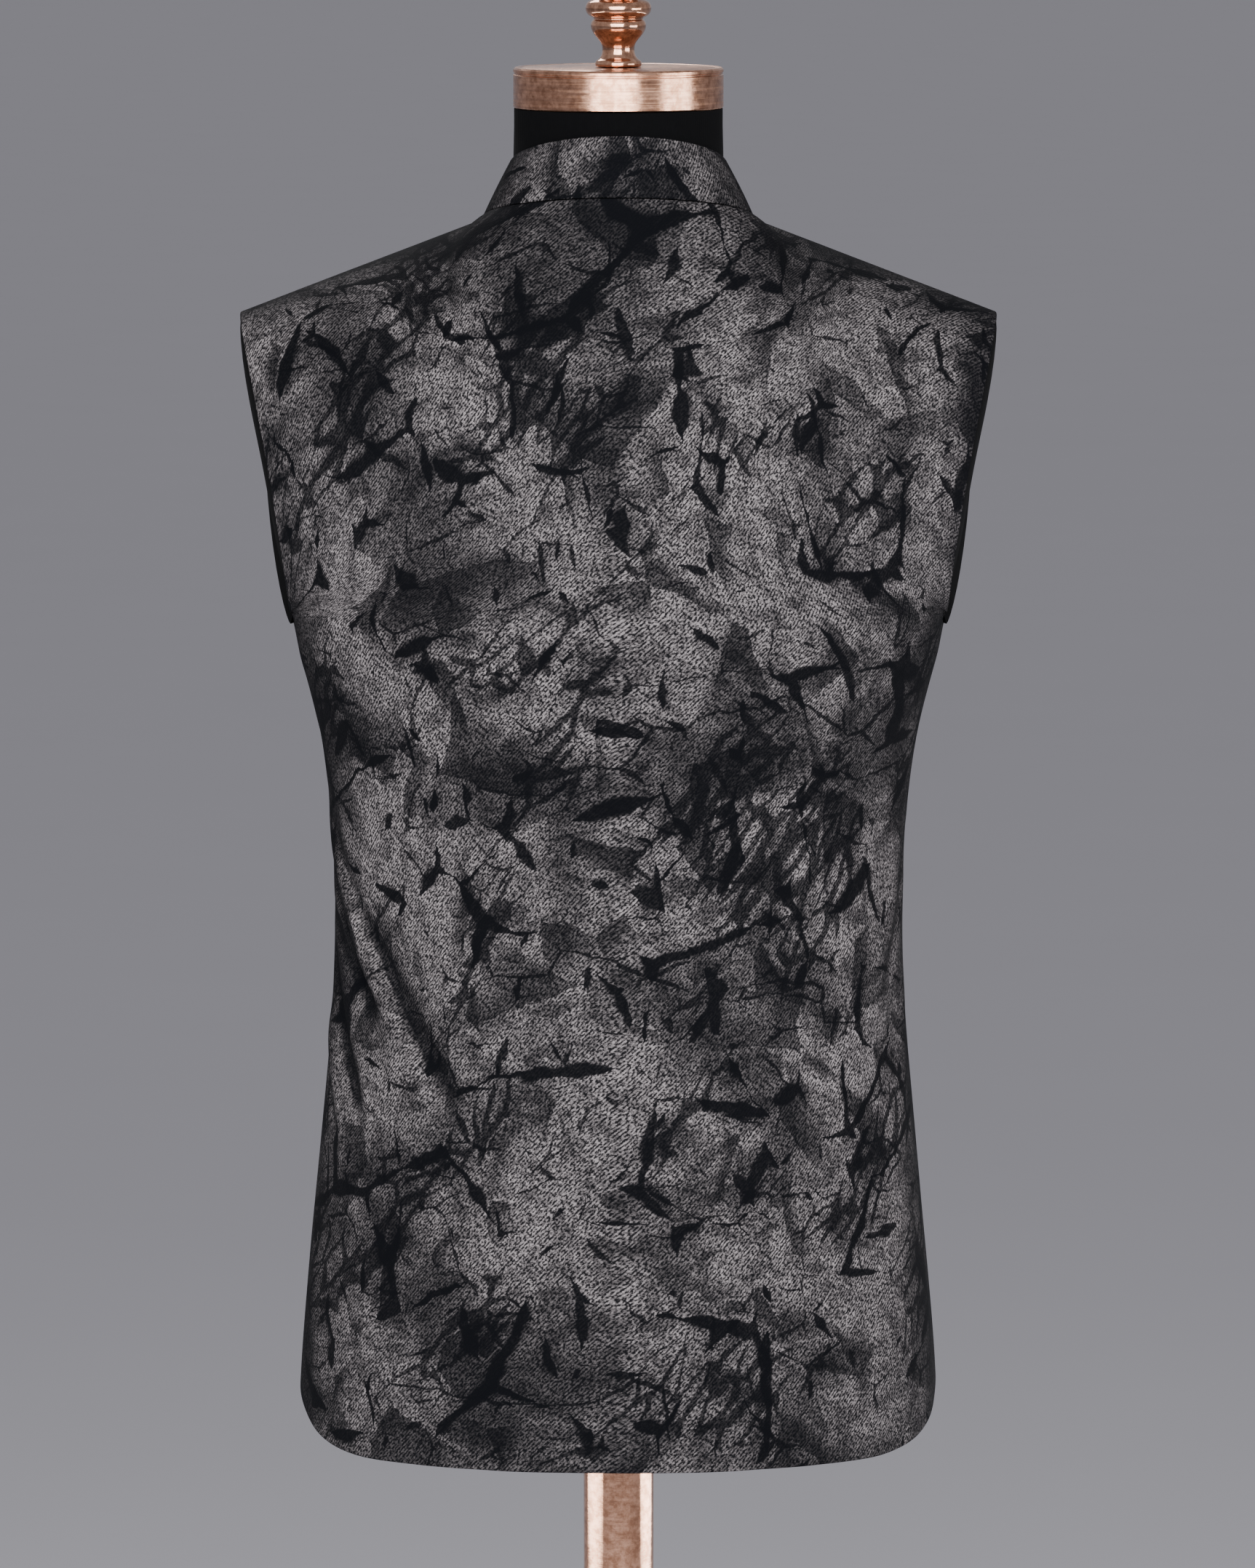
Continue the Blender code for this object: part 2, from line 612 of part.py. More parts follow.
def make_torso(material):
    """The whole form: both halves, a domed plate in each armhole, the neck and the bottom."""
    back, shares = form_half(BACK)
    front, _ = form_half(FRONT)
    bm = bmesh.new()
    body = FORM_BODY_ROWS
    last = len(shares) - 1
    neck = [j for j in range(last + 1) if abs(shares[j]) <= NECK_SHARE + 1e-9]
    skins = {}
    for name, grid in (("back", back), ("front", front)):
        skins[name] = [[bm.verts.new(Vector(p) * MM) for p in row] for row in grid]
    for i in range(body + 1):
        for j in (0, last):
            skins["front"][i][j] = skins["back"][i][j]
    top = len(back) - 1
    for j in range(last + 1):
        if abs(shares[j]) >= NECK_SHARE - 1e-9:
            skins["front"][top][j] = skins["back"][top][j]
    for skin in skins.values():
        grid_faces(bm, skin, shares)
    for j in (0, last):
        loop = [skins["back"][i][j] for i in range(body, top + 1)]
        loop += [skins["front"][i][j] for i in range(top - 1, body, -1)]
        arm_plate(bm, loop, 1.0 if j else -1.0)
    ring = [skins["back"][top][j] for j in neck] + [skins["front"][top][j] for j in reversed(neck[1:-1])]
    ring_shares = [shares[j] for j in neck] + [shares[j] for j in reversed(neck[1:-1])]
    turns = [neck_turn(s) for s in ring_shares[: len(neck)]]
    turns += [math.pi - neck_turn(s) for s in ring_shares[len(neck):]]
    neck_rings(bm, ring, np.array(turns))
    bottom = [skins["back"][0][j] for j in range(last + 1)]
    bottom += [skins["front"][0][j] for j in range(last - 1, 0, -1)]
    round_bottom(bm, bottom)
    loose = [v for v in bm.verts if not v.link_faces]
    bmesh.ops.delete(bm, geom=loose, context="VERTS")
    return finish("form_torso", bm, material, sharp=math.radians(60))


def bridge(bm, lower, upper):
    for i in range(len(lower)):
        j = (i + 1) % len(lower)
        bm.faces.new((lower[i], lower[j], upper[j], upper[i]))


def arm_plate(bm, loop, side):
    """A shallow dome that closes an armhole of the form."""
    middle = sum((v.co for v in loop), Vector()) / len(loop)
    ring = loop
    for reach, bulge in ARM_PLATE_RINGS:
        out = Vector((side * ARM_PLATE_BULGE * bulge * MM, 0.0, 0.0))
        inner = [bm.verts.new(middle + (v.co - middle) * reach + out) for v in loop]
        bridge(bm, ring, inner)
        ring = inner
    tip = bm.verts.new(middle + Vector((side * ARM_PLATE_BULGE * MM, 0.0, 0.0)))
    for i in range(len(ring)):
        bm.faces.new((ring[i], ring[(i + 1) % len(ring)], tip))


def neck_band(bm, lower, upper, turns):
    """Triangles between two rings of the neck, cut alike on both sides."""
    for i, turn in enumerate(turns):
        j = (i + 1) % len(turns)
        near, far = (i, j) if math.sin(turn + 0.01) > 0 else (j, i)
        bm.faces.new((lower[near], lower[far], upper[far]))
        bm.faces.new((lower[near], upper[far], upper[near]))


def neck_rings(bm, ring, turns):
    """The neck from the neckline up, inside the collar and then straight to its flat top."""
    for share in NECK_ROWS:
        outside = collar_point(turns, np.full(len(turns), share))
        along = collar_point(turns + 0.01, np.full(len(turns), share)) - outside
        up = collar_point(turns, np.full(len(turns), share + 0.01)) - outside
        normals = np.cross(up, along)
        normals /= np.linalg.norm(normals, axis=1, keepdims=True)
        normals *= np.sign((normals * (outside - np.array([0.0, NECK_CENTRE, 0.0]))).sum(1, keepdims=True))
        upper = [bm.verts.new(Vector(p) * MM) for p in outside - normals * COLLAR_CLEARANCE]
        neck_band(bm, ring, upper, turns)
        ring = upper
    for height in (NECK_TOP - 10.0, NECK_TOP):
        upper = []
        for turn in turns:
            forward = COLLAR_CENTRE + NECK_TOP_RADIUS * math.cos(turn)
            upper.append(bm.verts.new(Vector((NECK_TOP_RADIUS * math.sin(turn), forward, height)) * MM))
        bridge(bm, ring, upper)
        ring = upper
    bm.faces.new(ring)


def round_bottom(bm, ring):
    """A rounded lower edge and a flat bottom."""
    outline = [Vector((v.co.x, v.co.y, 0.0)) for v in ring]
    for turn in (30.0, 60.0, 90.0):
        inset = FORM_BOTTOM_ROUND * (1.0 - math.cos(math.radians(turn)))
        height = FORM_BOTTOM - FORM_BOTTOM_ROUND * math.sin(math.radians(turn))
        pulled = [flat * (1.0 - inset * MM / flat.length) for flat in outline]
        lower = [bm.verts.new((flat.x, flat.y, height * MM)) for flat in pulled]
        bridge(bm, ring, lower)
        ring = lower
    bm.faces.new(ring)


def make_stand(copper):
    """Cap and finial on the neck, and the pole on its round base."""
    cap_base = NAPE_HEIGHT + NECK_TOP + SEAM_GAP
    shift = Matrix.Translation((0.0, COLLAR_CENTRE * MM, 0.0))
    turned("form_neck_cap", CAP_PROFILE, METAL_SIDES, copper, cap_base, shift)
    turned("form_finial", FINIAL_PROFILE, FINIAL_SIDES, copper, cap_base + CAP_HEIGHT + SEAM_GAP, shift)
    pole_top = NAPE_HEIGHT + FORM_BOTTOM - FORM_BOTTOM_ROUND - SEAM_GAP
    pole = ((POLE_RADIUS, SOCKET_FLOOR + SEAM_GAP), (POLE_RADIUS, pole_top))
    turned("form_pole", pole, METAL_SIDES, copper, 0.0)
    socket = POLE_RADIUS + SEAM_GAP
    base = BASE_PROFILE + ((socket, BOSS_TOP), (socket, SOCKET_FLOOR))
    turned("form_base", base, METAL_SIDES, copper, 0.0)


def surface(name, colour, roughness, metallic):
    material = bpy.data.materials.new(name)
    material.use_nodes = True
    shader = material.node_tree.nodes["Principled BSDF"]
    shader.inputs["Base Color"].default_value = (*colour, 1.0)
    shader.inputs["Roughness"].default_value = roughness
    shader.inputs["Metallic"].default_value = metallic
    return material


def main():
    for old in list(bpy.data.objects):
        bpy.data.objects.remove(old)
    cloth = surface("charcoal_twill", (0.075, 0.070, 0.072), 0.85, 0.0)
    button = surface("black_button", (0.012, 0.012, 0.014), 0.35, 0.0)
    jersey = surface("black_jersey", (0.006, 0.006, 0.007), 0.9, 0.0)
    copper = surface("polished_copper", (0.72, 0.42, 0.30), 0.22, 1.0)
    make_back(cloth)
    make_front("jacket_front_left", 1.0, False, cloth)
    make_front("jacket_front_right", -1.0, True, cloth)
    make_collar(cloth)
    make_buttons(button)
    make_torso(jersey)
    make_stand(copper)


main()
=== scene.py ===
"""Visual model of a sleeveless stand-collar jacket, buttoned on a limbless dress form with a turned stand.

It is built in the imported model's frame: the wearer's front faces -Y, the wearer's left is +X and Z is up.
Tables are in millimetres, and heights of the cloth count from the nape seam.
"""

import math
from typing import NamedTuple

import bmesh
import bpy
import numpy as np
from bpy.props import FloatProperty, FloatVectorProperty, PointerProperty
from mathutils import Matrix, Vector


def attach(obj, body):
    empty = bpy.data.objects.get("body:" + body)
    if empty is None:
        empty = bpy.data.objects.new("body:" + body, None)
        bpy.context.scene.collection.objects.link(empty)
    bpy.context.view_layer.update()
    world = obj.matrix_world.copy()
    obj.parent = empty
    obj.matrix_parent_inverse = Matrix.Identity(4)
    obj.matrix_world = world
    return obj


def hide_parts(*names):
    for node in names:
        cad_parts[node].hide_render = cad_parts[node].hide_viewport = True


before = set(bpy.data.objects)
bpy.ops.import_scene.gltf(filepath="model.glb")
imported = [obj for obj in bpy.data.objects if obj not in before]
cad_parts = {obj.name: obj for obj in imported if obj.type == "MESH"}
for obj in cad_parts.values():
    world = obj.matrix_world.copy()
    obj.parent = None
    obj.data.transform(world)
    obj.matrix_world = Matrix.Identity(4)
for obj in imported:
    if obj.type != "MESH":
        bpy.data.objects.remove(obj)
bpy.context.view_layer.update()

bl_info = {
    "name": "Stand-collar jacket on a dress form",
    "version": (1, 0, 0),
    "blender": (4, 5, 0),
    "location": "3D View > Sidebar > Jacket",
    "description": "Builds the cloth, buttons, form, stand and studio round the packed model",
    "category": "Object",
}

MM = 0.001
NAPE_HEIGHT = 1450.0  # the collar seam at the centre back, above the floor
LEVEL = np.array([1.0, 1.0, 0.0])

# Cloth
WALL = 2.0  # shell, interlining and lining together
COLLAR_WALL = 1.9
SEAM_GAP = 0.12
OVERLAP = 22.0  # each front passes the centre line by this much
LAYER_STEP = 2.6  # how far the under front lies inside the upper one
LAYER_START = 25.0
LAYER_EASE = 38.0
EDGE_STEPS = (0.0, 0.1, 0.4, 1.0, 2.2, 4.4)  # grid lines beside a turned edge

# Neckline: an egg-shaped ring that falls evenly from the nape and faster in front
NECK_HALF_WIDTH = 77.8
NECK_CENTRE = -12.0
NECK_HALF_DEPTH = 72.0
NECK_TILT = 0.20
NECK_FRONT_DROP = 33.5
NECK_SHARE = 0.40  # the column at this share of the half width meets the neck point
NECK_CROWDING = 0.26

# Shoulders
TIP = (217.0, -8.0, -69.5)
NECK_BLEND = 0.22
NECK_LEAN = math.radians(20)

# Stand collar
COLLAR_HALF_WIDTH = 62.1
COLLAR_CENTRE = -8.0
COLLAR_BACK = 62.0
COLLAR_FRONT = 64.0
COLLAR_RISE = 34.4
COLLAR_TILT = 0.30
COLLAR_FRONT_DROP = 26.6
COLLAR_CORNER = 14.0
COLLAR_OPENING = 3.0
COLLAR_BOW = 0.5  # how far the middle of its height bows out, and how far that wavers round the neck
COLLAR_WAVER = 0.18

# Hem
HEM = -720.0
HEM_RISE = 31.4
HEM_RISE_WIDTH = 97.0
HEM_RISE_POWER = 2.4
FRONT_CORNER = 32.0

UNDERARM = -243.0
UPPER_LENGTH = 235.0  # roughly, along the cloth from the underarm to its top edge
HALF_ARC = 240.0  # the half width of a panel along the cloth
MEAN_HALF_WIDTH = 175.0
MEAN_DEPTH = 115.0

# Where each piece lies on the printed cloth
PANEL_PRINT = 700.0
FRONT_PRINT = 150.0
COLLAR_PRINT = (1900.0, 400.0)


class Section(NamedTuple):
    """A level of the body, closed from side seam to side seam."""

    height: float
    half_width: float
    back: float
    front: float


BODY = (
    Section(-760, 188.0, 124.5, 124.5),
    Section(-682, 185.0, 123.5, 123.0),
    Section(-610, 178.8, 119.5, 120.5),
    Section(-528, 171.0, 111.0, 117.5),
    Section(-465, 165.7, 103.5, 116.0),
    Section(-409, 164.2, 100.0, 117.0),
    Section(-345, 167.3, 103.5, 121.5),
    Section(-302, 173.8, 109.0, 126.0),
    Section(-266, 182.7, 114.5, 129.5),
    Section(-243, 187.7, 117.0, 131.0),
)


class Level(NamedTuple):
    """A level of one panel beside the armhole, from the panel's middle to the armhole's edge."""

    mid_height: float
    edge_height: float
    edge_width: float
    mid_depth: float
    edge_depth: float
    wrap: float  # the share of a quarter turn that the level bends through


BACK_LEVELS = (
    Level(-215, -239, 188.3, 118.5, 23, 0.88),
    Level(-184, -218, 190.0, 119.5, 45, 0.76),
    Level(-148, -182, 194.5, 118.0, 57, 0.66),
    Level(-106, -140, 201.5, 110.0, 55, 0.60),
)
FRONT_LEVELS = (
    Level(-222, -240, 186.5, 131.0, 24, 0.88),
    Level(-198, -220, 182.5, 129.0, 50, 0.76),
    Level(-166, -183, 180.0, 123.5, 66, 0.66),
    Level(-128, -140, 187.5, 113.0, 61, 0.60),
)


class Half(NamedTuple):
    """What makes the back differ from the front."""

    sign: float  # +1 toward the back, -1 toward the front
    squareness: float
    levels: tuple


BACK = Half(1.0, 2.25, BACK_LEVELS)
FRONT = Half(-1.0, 2.2, FRONT_LEVELS)


class Fold(NamedTuple):
    """A soft fold, straight between two places given as share of the half width and height."""

    half: Half
    from_share: float
    from_height: float
    to_share: float
    to_height: float
    rise: float
    width: float


# Drag lines run down and inward from the side seams at the waist, more of them on the wearer's left.
FOLDS = (
    Fold(BACK, 0.94, -350, 0.45, -494, -3.6, 6),
    Fold(BACK, 0.92, -352, 0.50, -520, 3.4, 13),
    Fold(BACK, 0.95, -385, 0.66, -474, -3.4, 5.5),
    Fold(BACK, 0.97, -412, 0.64, -466, -2.6, 5),
    Fold(BACK, 0.95, -436, 0.72, -520, -3.2, 5.5),
    Fold(BACK, 0.96, -476, 0.74, -560, 2.4, 9),
    Fold(BACK, 0.97, -486, 0.80, -542, -2.4, 5),
    Fold(BACK, 0.97, -312, 0.84, -372, -1.8, 6),
    Fold(BACK, 0.70, -400, 0.40, -505, -1.1, 9),
    Fold(BACK, 0.93, -600, 0.80, -690, 1.0, 9),
    Fold(BACK, -0.90, -392, -0.60, -500, 1.7, 15),
    Fold(BACK, -0.96, -372, -0.80, -450, -2.0, 6),
    Fold(BACK, -0.94, -455, -0.78, -560, 0.9, 9),
    Fold(BACK, 0.95, -262, 0.66, -300, 0.9, 10),
    Fold(BACK, -0.95, -258, -0.68, -306, 0.8, 10),
    Fold(FRONT, 0.88, -380, 0.52, -500, 1.7, 15),
    Fold(FRONT, 0.95, -430, 0.76, -540, -2.2, 6.5),
    Fold(FRONT, -0.88, -396, -0.55, -520, 1.8, 15),
    Fold(FRONT, -0.96, -350, -0.78, -455, -2.0, 6.5),
    Fold(FRONT, 0.93, -256, 0.62, -312, 1.1, 11),
    Fold(FRONT, -0.93, -256, -0.60, -320, 1.0, 11),
)
FULL_CREASE_SHADE = 1.7  # a fold trough this deep gets the darkest painted shade
SIDE_SEAM_EASE = 14.0  # over this width the relief fades toward the side seams
SIDE_SEAM_SHARE = 0.985  # from this share of the half width on, normals are square to the side seam
SEAM_LEAN = 0.02  # how much of their lean to the back or front is left there


class Swell(NamedTuple):
    """A gentle unevenness of hanging cloth: a wave across the cloth and up it."""

    across: float  # mm from crest to crest
    up: float
    lean: float  # how far the crests lean, in mm across for each mm up
    start: float
    rise: float


SWELLS = (
    Swell(142, 310, 0.16, 0.4, 0.42),
    Swell(88, 205, -0.24, 2.1, 0.30),
    Swell(47, 131, 0.31, 4.0, 0.16),
    Swell(29, 74, -0.12, 1.2, 0.08),
)
SWELL_SHIFT = 300.0  # sets the swells of the back and the front apart
RESTING_SWELL = 0.12  # what is left of the swells where the cloth lies on the shoulders
SWELL_EASE = 160.0
FLARE = 1.1  # how much the swells grow toward the hem, below a height and over a length
FLARE_HEIGHT = -540.0
FLARE_LENGTH = 180.0


class Crumple(NamedTuple):
    """One size of facet in the print's crumpled ground. Each facet darkens toward one of its sides."""

    size: float  # metres
    turn: float  # degrees that the facets lean
    stretch: float  # how much longer than wide they are
    start: float  # where the dark begins, as a share of the size
    end: float
    left_bare: float  # how much of the pale yarn still shows in the dark


CRUMPLES = (
    Crumple(0.085, -55.0, 1.3, 0.03, 0.24, 0.30),
    Crumple(0.038, 22.0, 1.6, 0.08, 0.20, 0.26),
    Crumple(0.017, -75.0, 2.0, 0.10, 0.20, 0.50),
)


class Stroke(NamedTuple):
    """One kind of dark stroke in the print, which follows the edges of cells, swells and thins out."""

    size: float  # of the cells, in metres
    turn: float
    stretch: float
    patch: float  # from one swelling to the next
    start: float  # the strokes show where the swelling passes this
    width: float  # at their widest, as a share of the size
    left_bare: float


STROKES = (
    Stroke(0.066, -62.0, 1.3, 0.034, 0.27, 0.105, 0.03),
    Stroke(0.034, 12.0, 1.8, 0.027, 0.34, 0.16, 0.05),
    Stroke(0.010, -40.0, 3.0, 0.042, 0.34, 0.36, 0.16),
    Stroke(0.025, -85.0, 1.6, 0.022, 0.29, 0.070, 0.12),
)
GATHERING = 0.45  # how much more of the strokes there are where the ground is dark
FULL_SWELLING = 0.54  # where the strokes are at their widest
WAVE = 0.314159  # a wave texture's scale times the spacing of its lines

# Buttons
BUTTON_HEIGHTS = tuple(-92.0 - 94.0 * i for i in range(6))
BUTTON_PROFILE = (  # radius and height: underside, edge, raised rim and dished face
    (0.0, 0.0), (5.6, 0.0), (7.6, 0.5), (8.4, 1.2), (8.5, 2.0), (8.3, 2.8), (7.7, 3.4), (7.0, 3.6),
    (6.3, 3.4), (5.8, 2.9), (5.2, 2.5), (4.2, 2.35), (0.0, 2.3),
)
BUTTON_LIFT = 0.4
HOLE_RADIUS = 0.95
HOLE_FLOOR = 0.9
HOLE_CUTTER_TOP = 5.0
HOLE_SPACING = 2.0  # from the button's middle to each hole, across and up
THREAD_RADIUS = 0.32
STITCH_OFFSET = 0.36  # from a hole's middle to each of its two stitches
STITCH_START = 1.5
STITCH_RISE = 1.35

# Dress form
REST_GAP = 0.6
PLACKET_CLEARANCE = LAYER_STEP + 0.4  # what the form gives way by behind the doubled centre front
WAIST_CLEARANCE = 9.0
REST_HEIGHT = -110.0
FREE_HEIGHT = -360.0
FORM_BOTTOM = -640.0
FORM_BOTTOM_ROUND = 14.0
ARM_PLATE_BULGE = 9.0
ARM_PLATE_RINGS = 9
NECK_TOP = 47.0
NECK_TOP_RADIUS = 59.6
NECK_SHARES = (0.15, 0.32, 0.5, 0.72, 0.95)
COLLAR_CLEARANCE = 3.1

# Turned metal: radius and height
FIT = 0.3  # between pieces of the stand
CAP_PROFILE = (
    (0.0, 0.0), (59.2, 0.0), (60.0, 0.8), (60.0, 18.9), (59.5, 19.3), (59.5, 20.1), (60.0, 20.5),
    (60.0, 22.0), (59.0, 23.0), (56.5, 23.0), (55.6, 22.5), (54.6, 22.9), (15.0, 23.0), (0.0, 23.0),
)
CAP_HEIGHT = 23.0
FINIAL_PROFILE = (
    (0.0, 0.0), (12.4, 0.0), (13.3, 0.7), (13.4, 2.6), (12.8, 3.8), (10.9, 4.8), (9.6, 6.8), (9.1, 9.6),
    (9.3, 12.2), (10.4, 14.6), (12.6, 17.0), (14.6, 19.4), (15.7, 22.0), (15.9, 24.2), (15.3, 26.2),
    (13.9, 27.3), (14.1, 28.0), (16.4, 28.9), (18.2, 30.6), (18.9, 32.9), (18.7, 35.2), (17.4, 37.2),
    (14.6, 38.5), (11.8, 39.5), (9.6, 41.0), (8.8, 42.4), (9.8, 43.8), (13.0, 45.6),
    (16.2, 48.8), (17.7, 52.6), (17.8, 56.2), (16.4, 61.0), (13.2, 65.2), (8.4, 68.2), (3.0, 69.4), (0.0, 69.4),
)
POLE_RADIUS = 20.5
SOCKET_FLOOR = 18.0
BASE_PROFILE = (
    (0.0, 0.0), (179.0, 0.0), (180.0, 1.0), (180.0, 10.0), (179.2, 13.0), (177.0, 15.2), (174.0, 16.0),
    (120.0, 16.6), (70.0, 17.4), (56.0, 18.4), (46.0, 20.8), (38.5, 26.0), (34.8, 33.0), (34.0, 38.0),
    (34.0, 42.6), (33.0, 45.0), (30.8, 46.0), (20.8, 46.0), (20.8, 18.0), (0.0, 18.0),
)


def smooth(x):
    """0 below 0, 1 above 1, and an even ease between."""
    x = np.clip(x, 0.0, 1.0)
    return x * x * (3.0 - 2.0 * x)


def unit(vector):
    return vector / np.linalg.norm(vector)


def spline(knots, values, start, end, at):
    """A cubic spline through the values, with given slopes at its two ends, read at some places."""
    knots = np.asarray(knots, float)
    values = np.asarray(values, float)
    step = np.diff(knots)
    count = len(knots)
    matrix = np.eye(count)
    right = np.zeros_like(values)
    right[0] = start
    right[-1] = end
    shape = (-1,) + (1,) * (values.ndim - 1)
    slope = np.diff(values, axis=0) / step.reshape(shape)
    for i in range(1, count - 1):
        matrix[i, i - 1] = 1.0 / step[i - 1]
        matrix[i, i] = 2.0 / step[i - 1] + 2.0 / step[i]
        matrix[i, i + 1] = 1.0 / step[i]
        right[i] = 3.0 * (slope[i - 1] / step[i - 1] + slope[i] / step[i])
    slopes = np.linalg.solve(matrix, right)
    at = np.asarray(at, float)
    left = np.clip(np.searchsorted(knots, at) - 1, 0, count - 2)
    h = step[left]
    u = ((at - knots[left]) / h).reshape(shape)
    h = h.reshape(shape)
    return (
        values[left] * (1 - u) ** 2 * (1 + 2 * u)
        + values[left + 1] * u**2 * (3 - 2 * u)
        + slopes[left] * h * u * (1 - u) ** 2
        - slopes[left + 1] * h * u**2 * (1 - u)
    )


def body_size(height):
    """Half width, back depth and front depth at each height."""
    knots = [s.height for s in BODY]
    sizes = np.array([s[1:] for s in BODY], float)
    first = (sizes[1] - sizes[0]) / (knots[1] - knots[0])
    last = (sizes[-1] - sizes[-2]) / (knots[-1] - knots[-2])
    return spline(knots, sizes, first, last, np.ravel(height)).reshape(np.shape(height) + (3,))


def angle_at(share):
    """The angle round a mean section at which a share of its arc is reached, with the share's sign."""
    angles = np.linspace(0.0, math.pi / 2, 400)
    points = np.stack([MEAN_HALF_WIDTH * np.sin(angles), MEAN_DEPTH * np.cos(angles)], 1)
    arc = np.concatenate([[0.0], np.cumsum(np.linalg.norm(np.diff(points, axis=0), axis=1))])
    return np.sign(share) * np.interp(np.abs(share), arc / arc[-1], angles)


def rounded(value, squareness):
    """A sine or cosine raised to the power that squares a section's corners."""
    return np.sign(value) * np.abs(value) ** (2.0 / squareness)


def body_point(half, angle, height):
    """Points of the body below the armholes."""
    size = body_size(height)
    depth = size[..., 1] if half.sign > 0 else size[..., 2]
    x = size[..., 0] * rounded(np.sin(angle), half.squareness)
    y = half.sign * depth * rounded(np.cos(angle), half.squareness)
    return np.stack([x, y, height + 0.0 * x], -1)


def level_width(half, level):
    """The half width that a level would have if it bent on through a whole quarter turn."""
    return level.edge_width / rounded(math.sin(level.wrap * math.pi / 2), half.squareness)


def armhole_point(half, level, angle, share):
    """A point of one level beside the armhole."""
    limit = level.wrap * math.pi / 2
    turned_to = level.wrap * angle
    x = level_width(half, level) * rounded(np.sin(turned_to), half.squareness)
    edge = rounded(math.cos(limit), half.squareness)
    bend = (rounded(np.cos(turned_to), half.squareness) - edge) / (1.0 - edge)
    y = half.sign * (level.edge_depth + (level.mid_depth - level.edge_depth) * bend)
    z = level.mid_height + (level.edge_height - level.mid_height) * abs(share) ** 3
    return np.array([x, y, z])


def neckline(turn):
    """Points of the neck ring. The turn is 0 at the nape and half a circle at the centre front."""
    x = NECK_HALF_WIDTH * np.sin(turn)
    y = NECK_CENTRE + NECK_HALF_DEPTH * np.cos(turn)
    back_off = NECK_CENTRE + NECK_HALF_DEPTH - y
    z = -NECK_TILT * back_off - NECK_FRONT_DROP * (back_off / (2 * NECK_HALF_DEPTH)) ** 4
    return np.stack([x, y, z], -1)


def neck_turn(share):
    """How far round the neckline a column arrives, from its middle. The neck point is a quarter turn away."""
    reach = min(abs(share) / NECK_SHARE, 1.0)
    return math.copysign(math.pi / 2 * reach * (1.0 - NECK_CROWDING * (1.0 - reach)), share)


def top_point(half, share, turn):
    """Where a column ends: on the neckline, or past the neck point on the shoulder seam."""
    ring = neckline(turn if half.sign > 0 else math.pi - turn)
    along = max((abs(share) - NECK_SHARE) / (1.0 - NECK_SHARE), 0.0)
    shoulder = (np.array(TIP) - neckline(math.pi / 2)) * np.array([math.copysign(1.0, turn), 1.0, 1.0])
    return ring + along * shoulder


def top_direction(half, share, turn):
    """The way a column reaches its end, level over the shoulder seam and nearly upright at the centre."""
    side = math.copysign(1.0, turn)
    uphill = unit(neckline(math.pi / 2) - np.array(TIP)) * np.array([side, 1.0, 1.0])
    level = np.array([0.0, -half.sign, 0.0])
    if abs(share) >= NECK_SHARE:
        return unit(level + uphill * (1.0 - smooth((abs(share) - NECK_SHARE) / NECK_BLEND)))
    reach = abs(turn) / (math.pi / 2)
    slope = math.acos(abs(uphill[2]))
    lean = NECK_LEAN + (slope - NECK_LEAN) * smooth(reach)
    inward = np.array([-math.sin(turn), -half.sign * math.cos(turn), 0.0])
    across = np.array([side * math.cos(turn), -half.sign * math.sin(abs(turn)), 0.0])
    return unit(math.cos(lean) * np.array([0.0, 0.0, 1.0]) + math.sin(lean) * inward + across * reach**3)


class Column(NamedTuple):
    """A column of a half, placed by its share of the half width or, past the centre front, in mm."""

    share: float
    across: float | None = None


def angle_across(across, half_width, half):
    """The angle of a squared section at which it is a distance from the centre line."""
    return math.copysign(math.asin((abs(across) / half_width) ** (half.squareness / 2)), across)


def column_points(half, column, low, body_shares, upper_shares):
    """One column of a half, from its lower end to its end at the neckline or the shoulder seam."""
    share, across = column
    heights = low + (UNDERARM - low) * np.asarray(body_shares)
    if across is None:
        angles = np.full(len(heights), angle_at(share))
        turn = neck_turn(share)
        level_angles = [angle_at(share)] * len(half.levels)
    else:
        angles = np.array([angle_across(across, width, half) for width in body_size(heights)[:, 0]])
        turn = math.asin(across / NECK_HALF_WIDTH)
        level_angles = [
            angle_across(across, level_width(half, level), half) / level.wrap for level in half.levels
        ]
    body = body_point(half, angles, heights)
    levels = [armhole_point(half, level, angle, share) for level, angle in zip(half.levels, level_angles)]
    points = np.array([body[-1], *levels, top_point(half, share, turn)])
    chords = np.linalg.norm(np.diff(points, axis=0), axis=1)
    knots = np.concatenate([[0.0], np.cumsum(chords)])
    upward = unit(body[-1] - body_point(half, angles[-1:], np.array([UNDERARM - 5.0]))[0])
    under_arm = np.array([0.0, half.sign, 0.1])
    start = unit(upward + (under_arm - upward) * abs(share) ** 12)
    at = (knots[-1] - SEAM_GAP / 2) * np.asarray(upper_shares)[1:]
    upper = spline(knots, points, start, top_direction(half, share, turn), at)
    return np.concatenate([body, upper])


def hem_height(column, edge=None):
    """The height of the hem: it rises toward the side seams and rounds the corner of a front."""
    from_side = (1.0 - abs(column.share)) * HALF_ARC
    height = HEM + HEM_RISE * max(1.0 - from_side / HEM_RISE_WIDTH, 0.0) ** HEM_RISE_POWER
    if edge is not None:
        across = column.share * HALF_ARC if column.across is None else column.across
        inward = min(max(FRONT_CORNER - (across - edge), 0.0), FRONT_CORNER)
        height += FRONT_CORNER - math.sqrt(FRONT_CORNER**2 - inward**2)
    return height


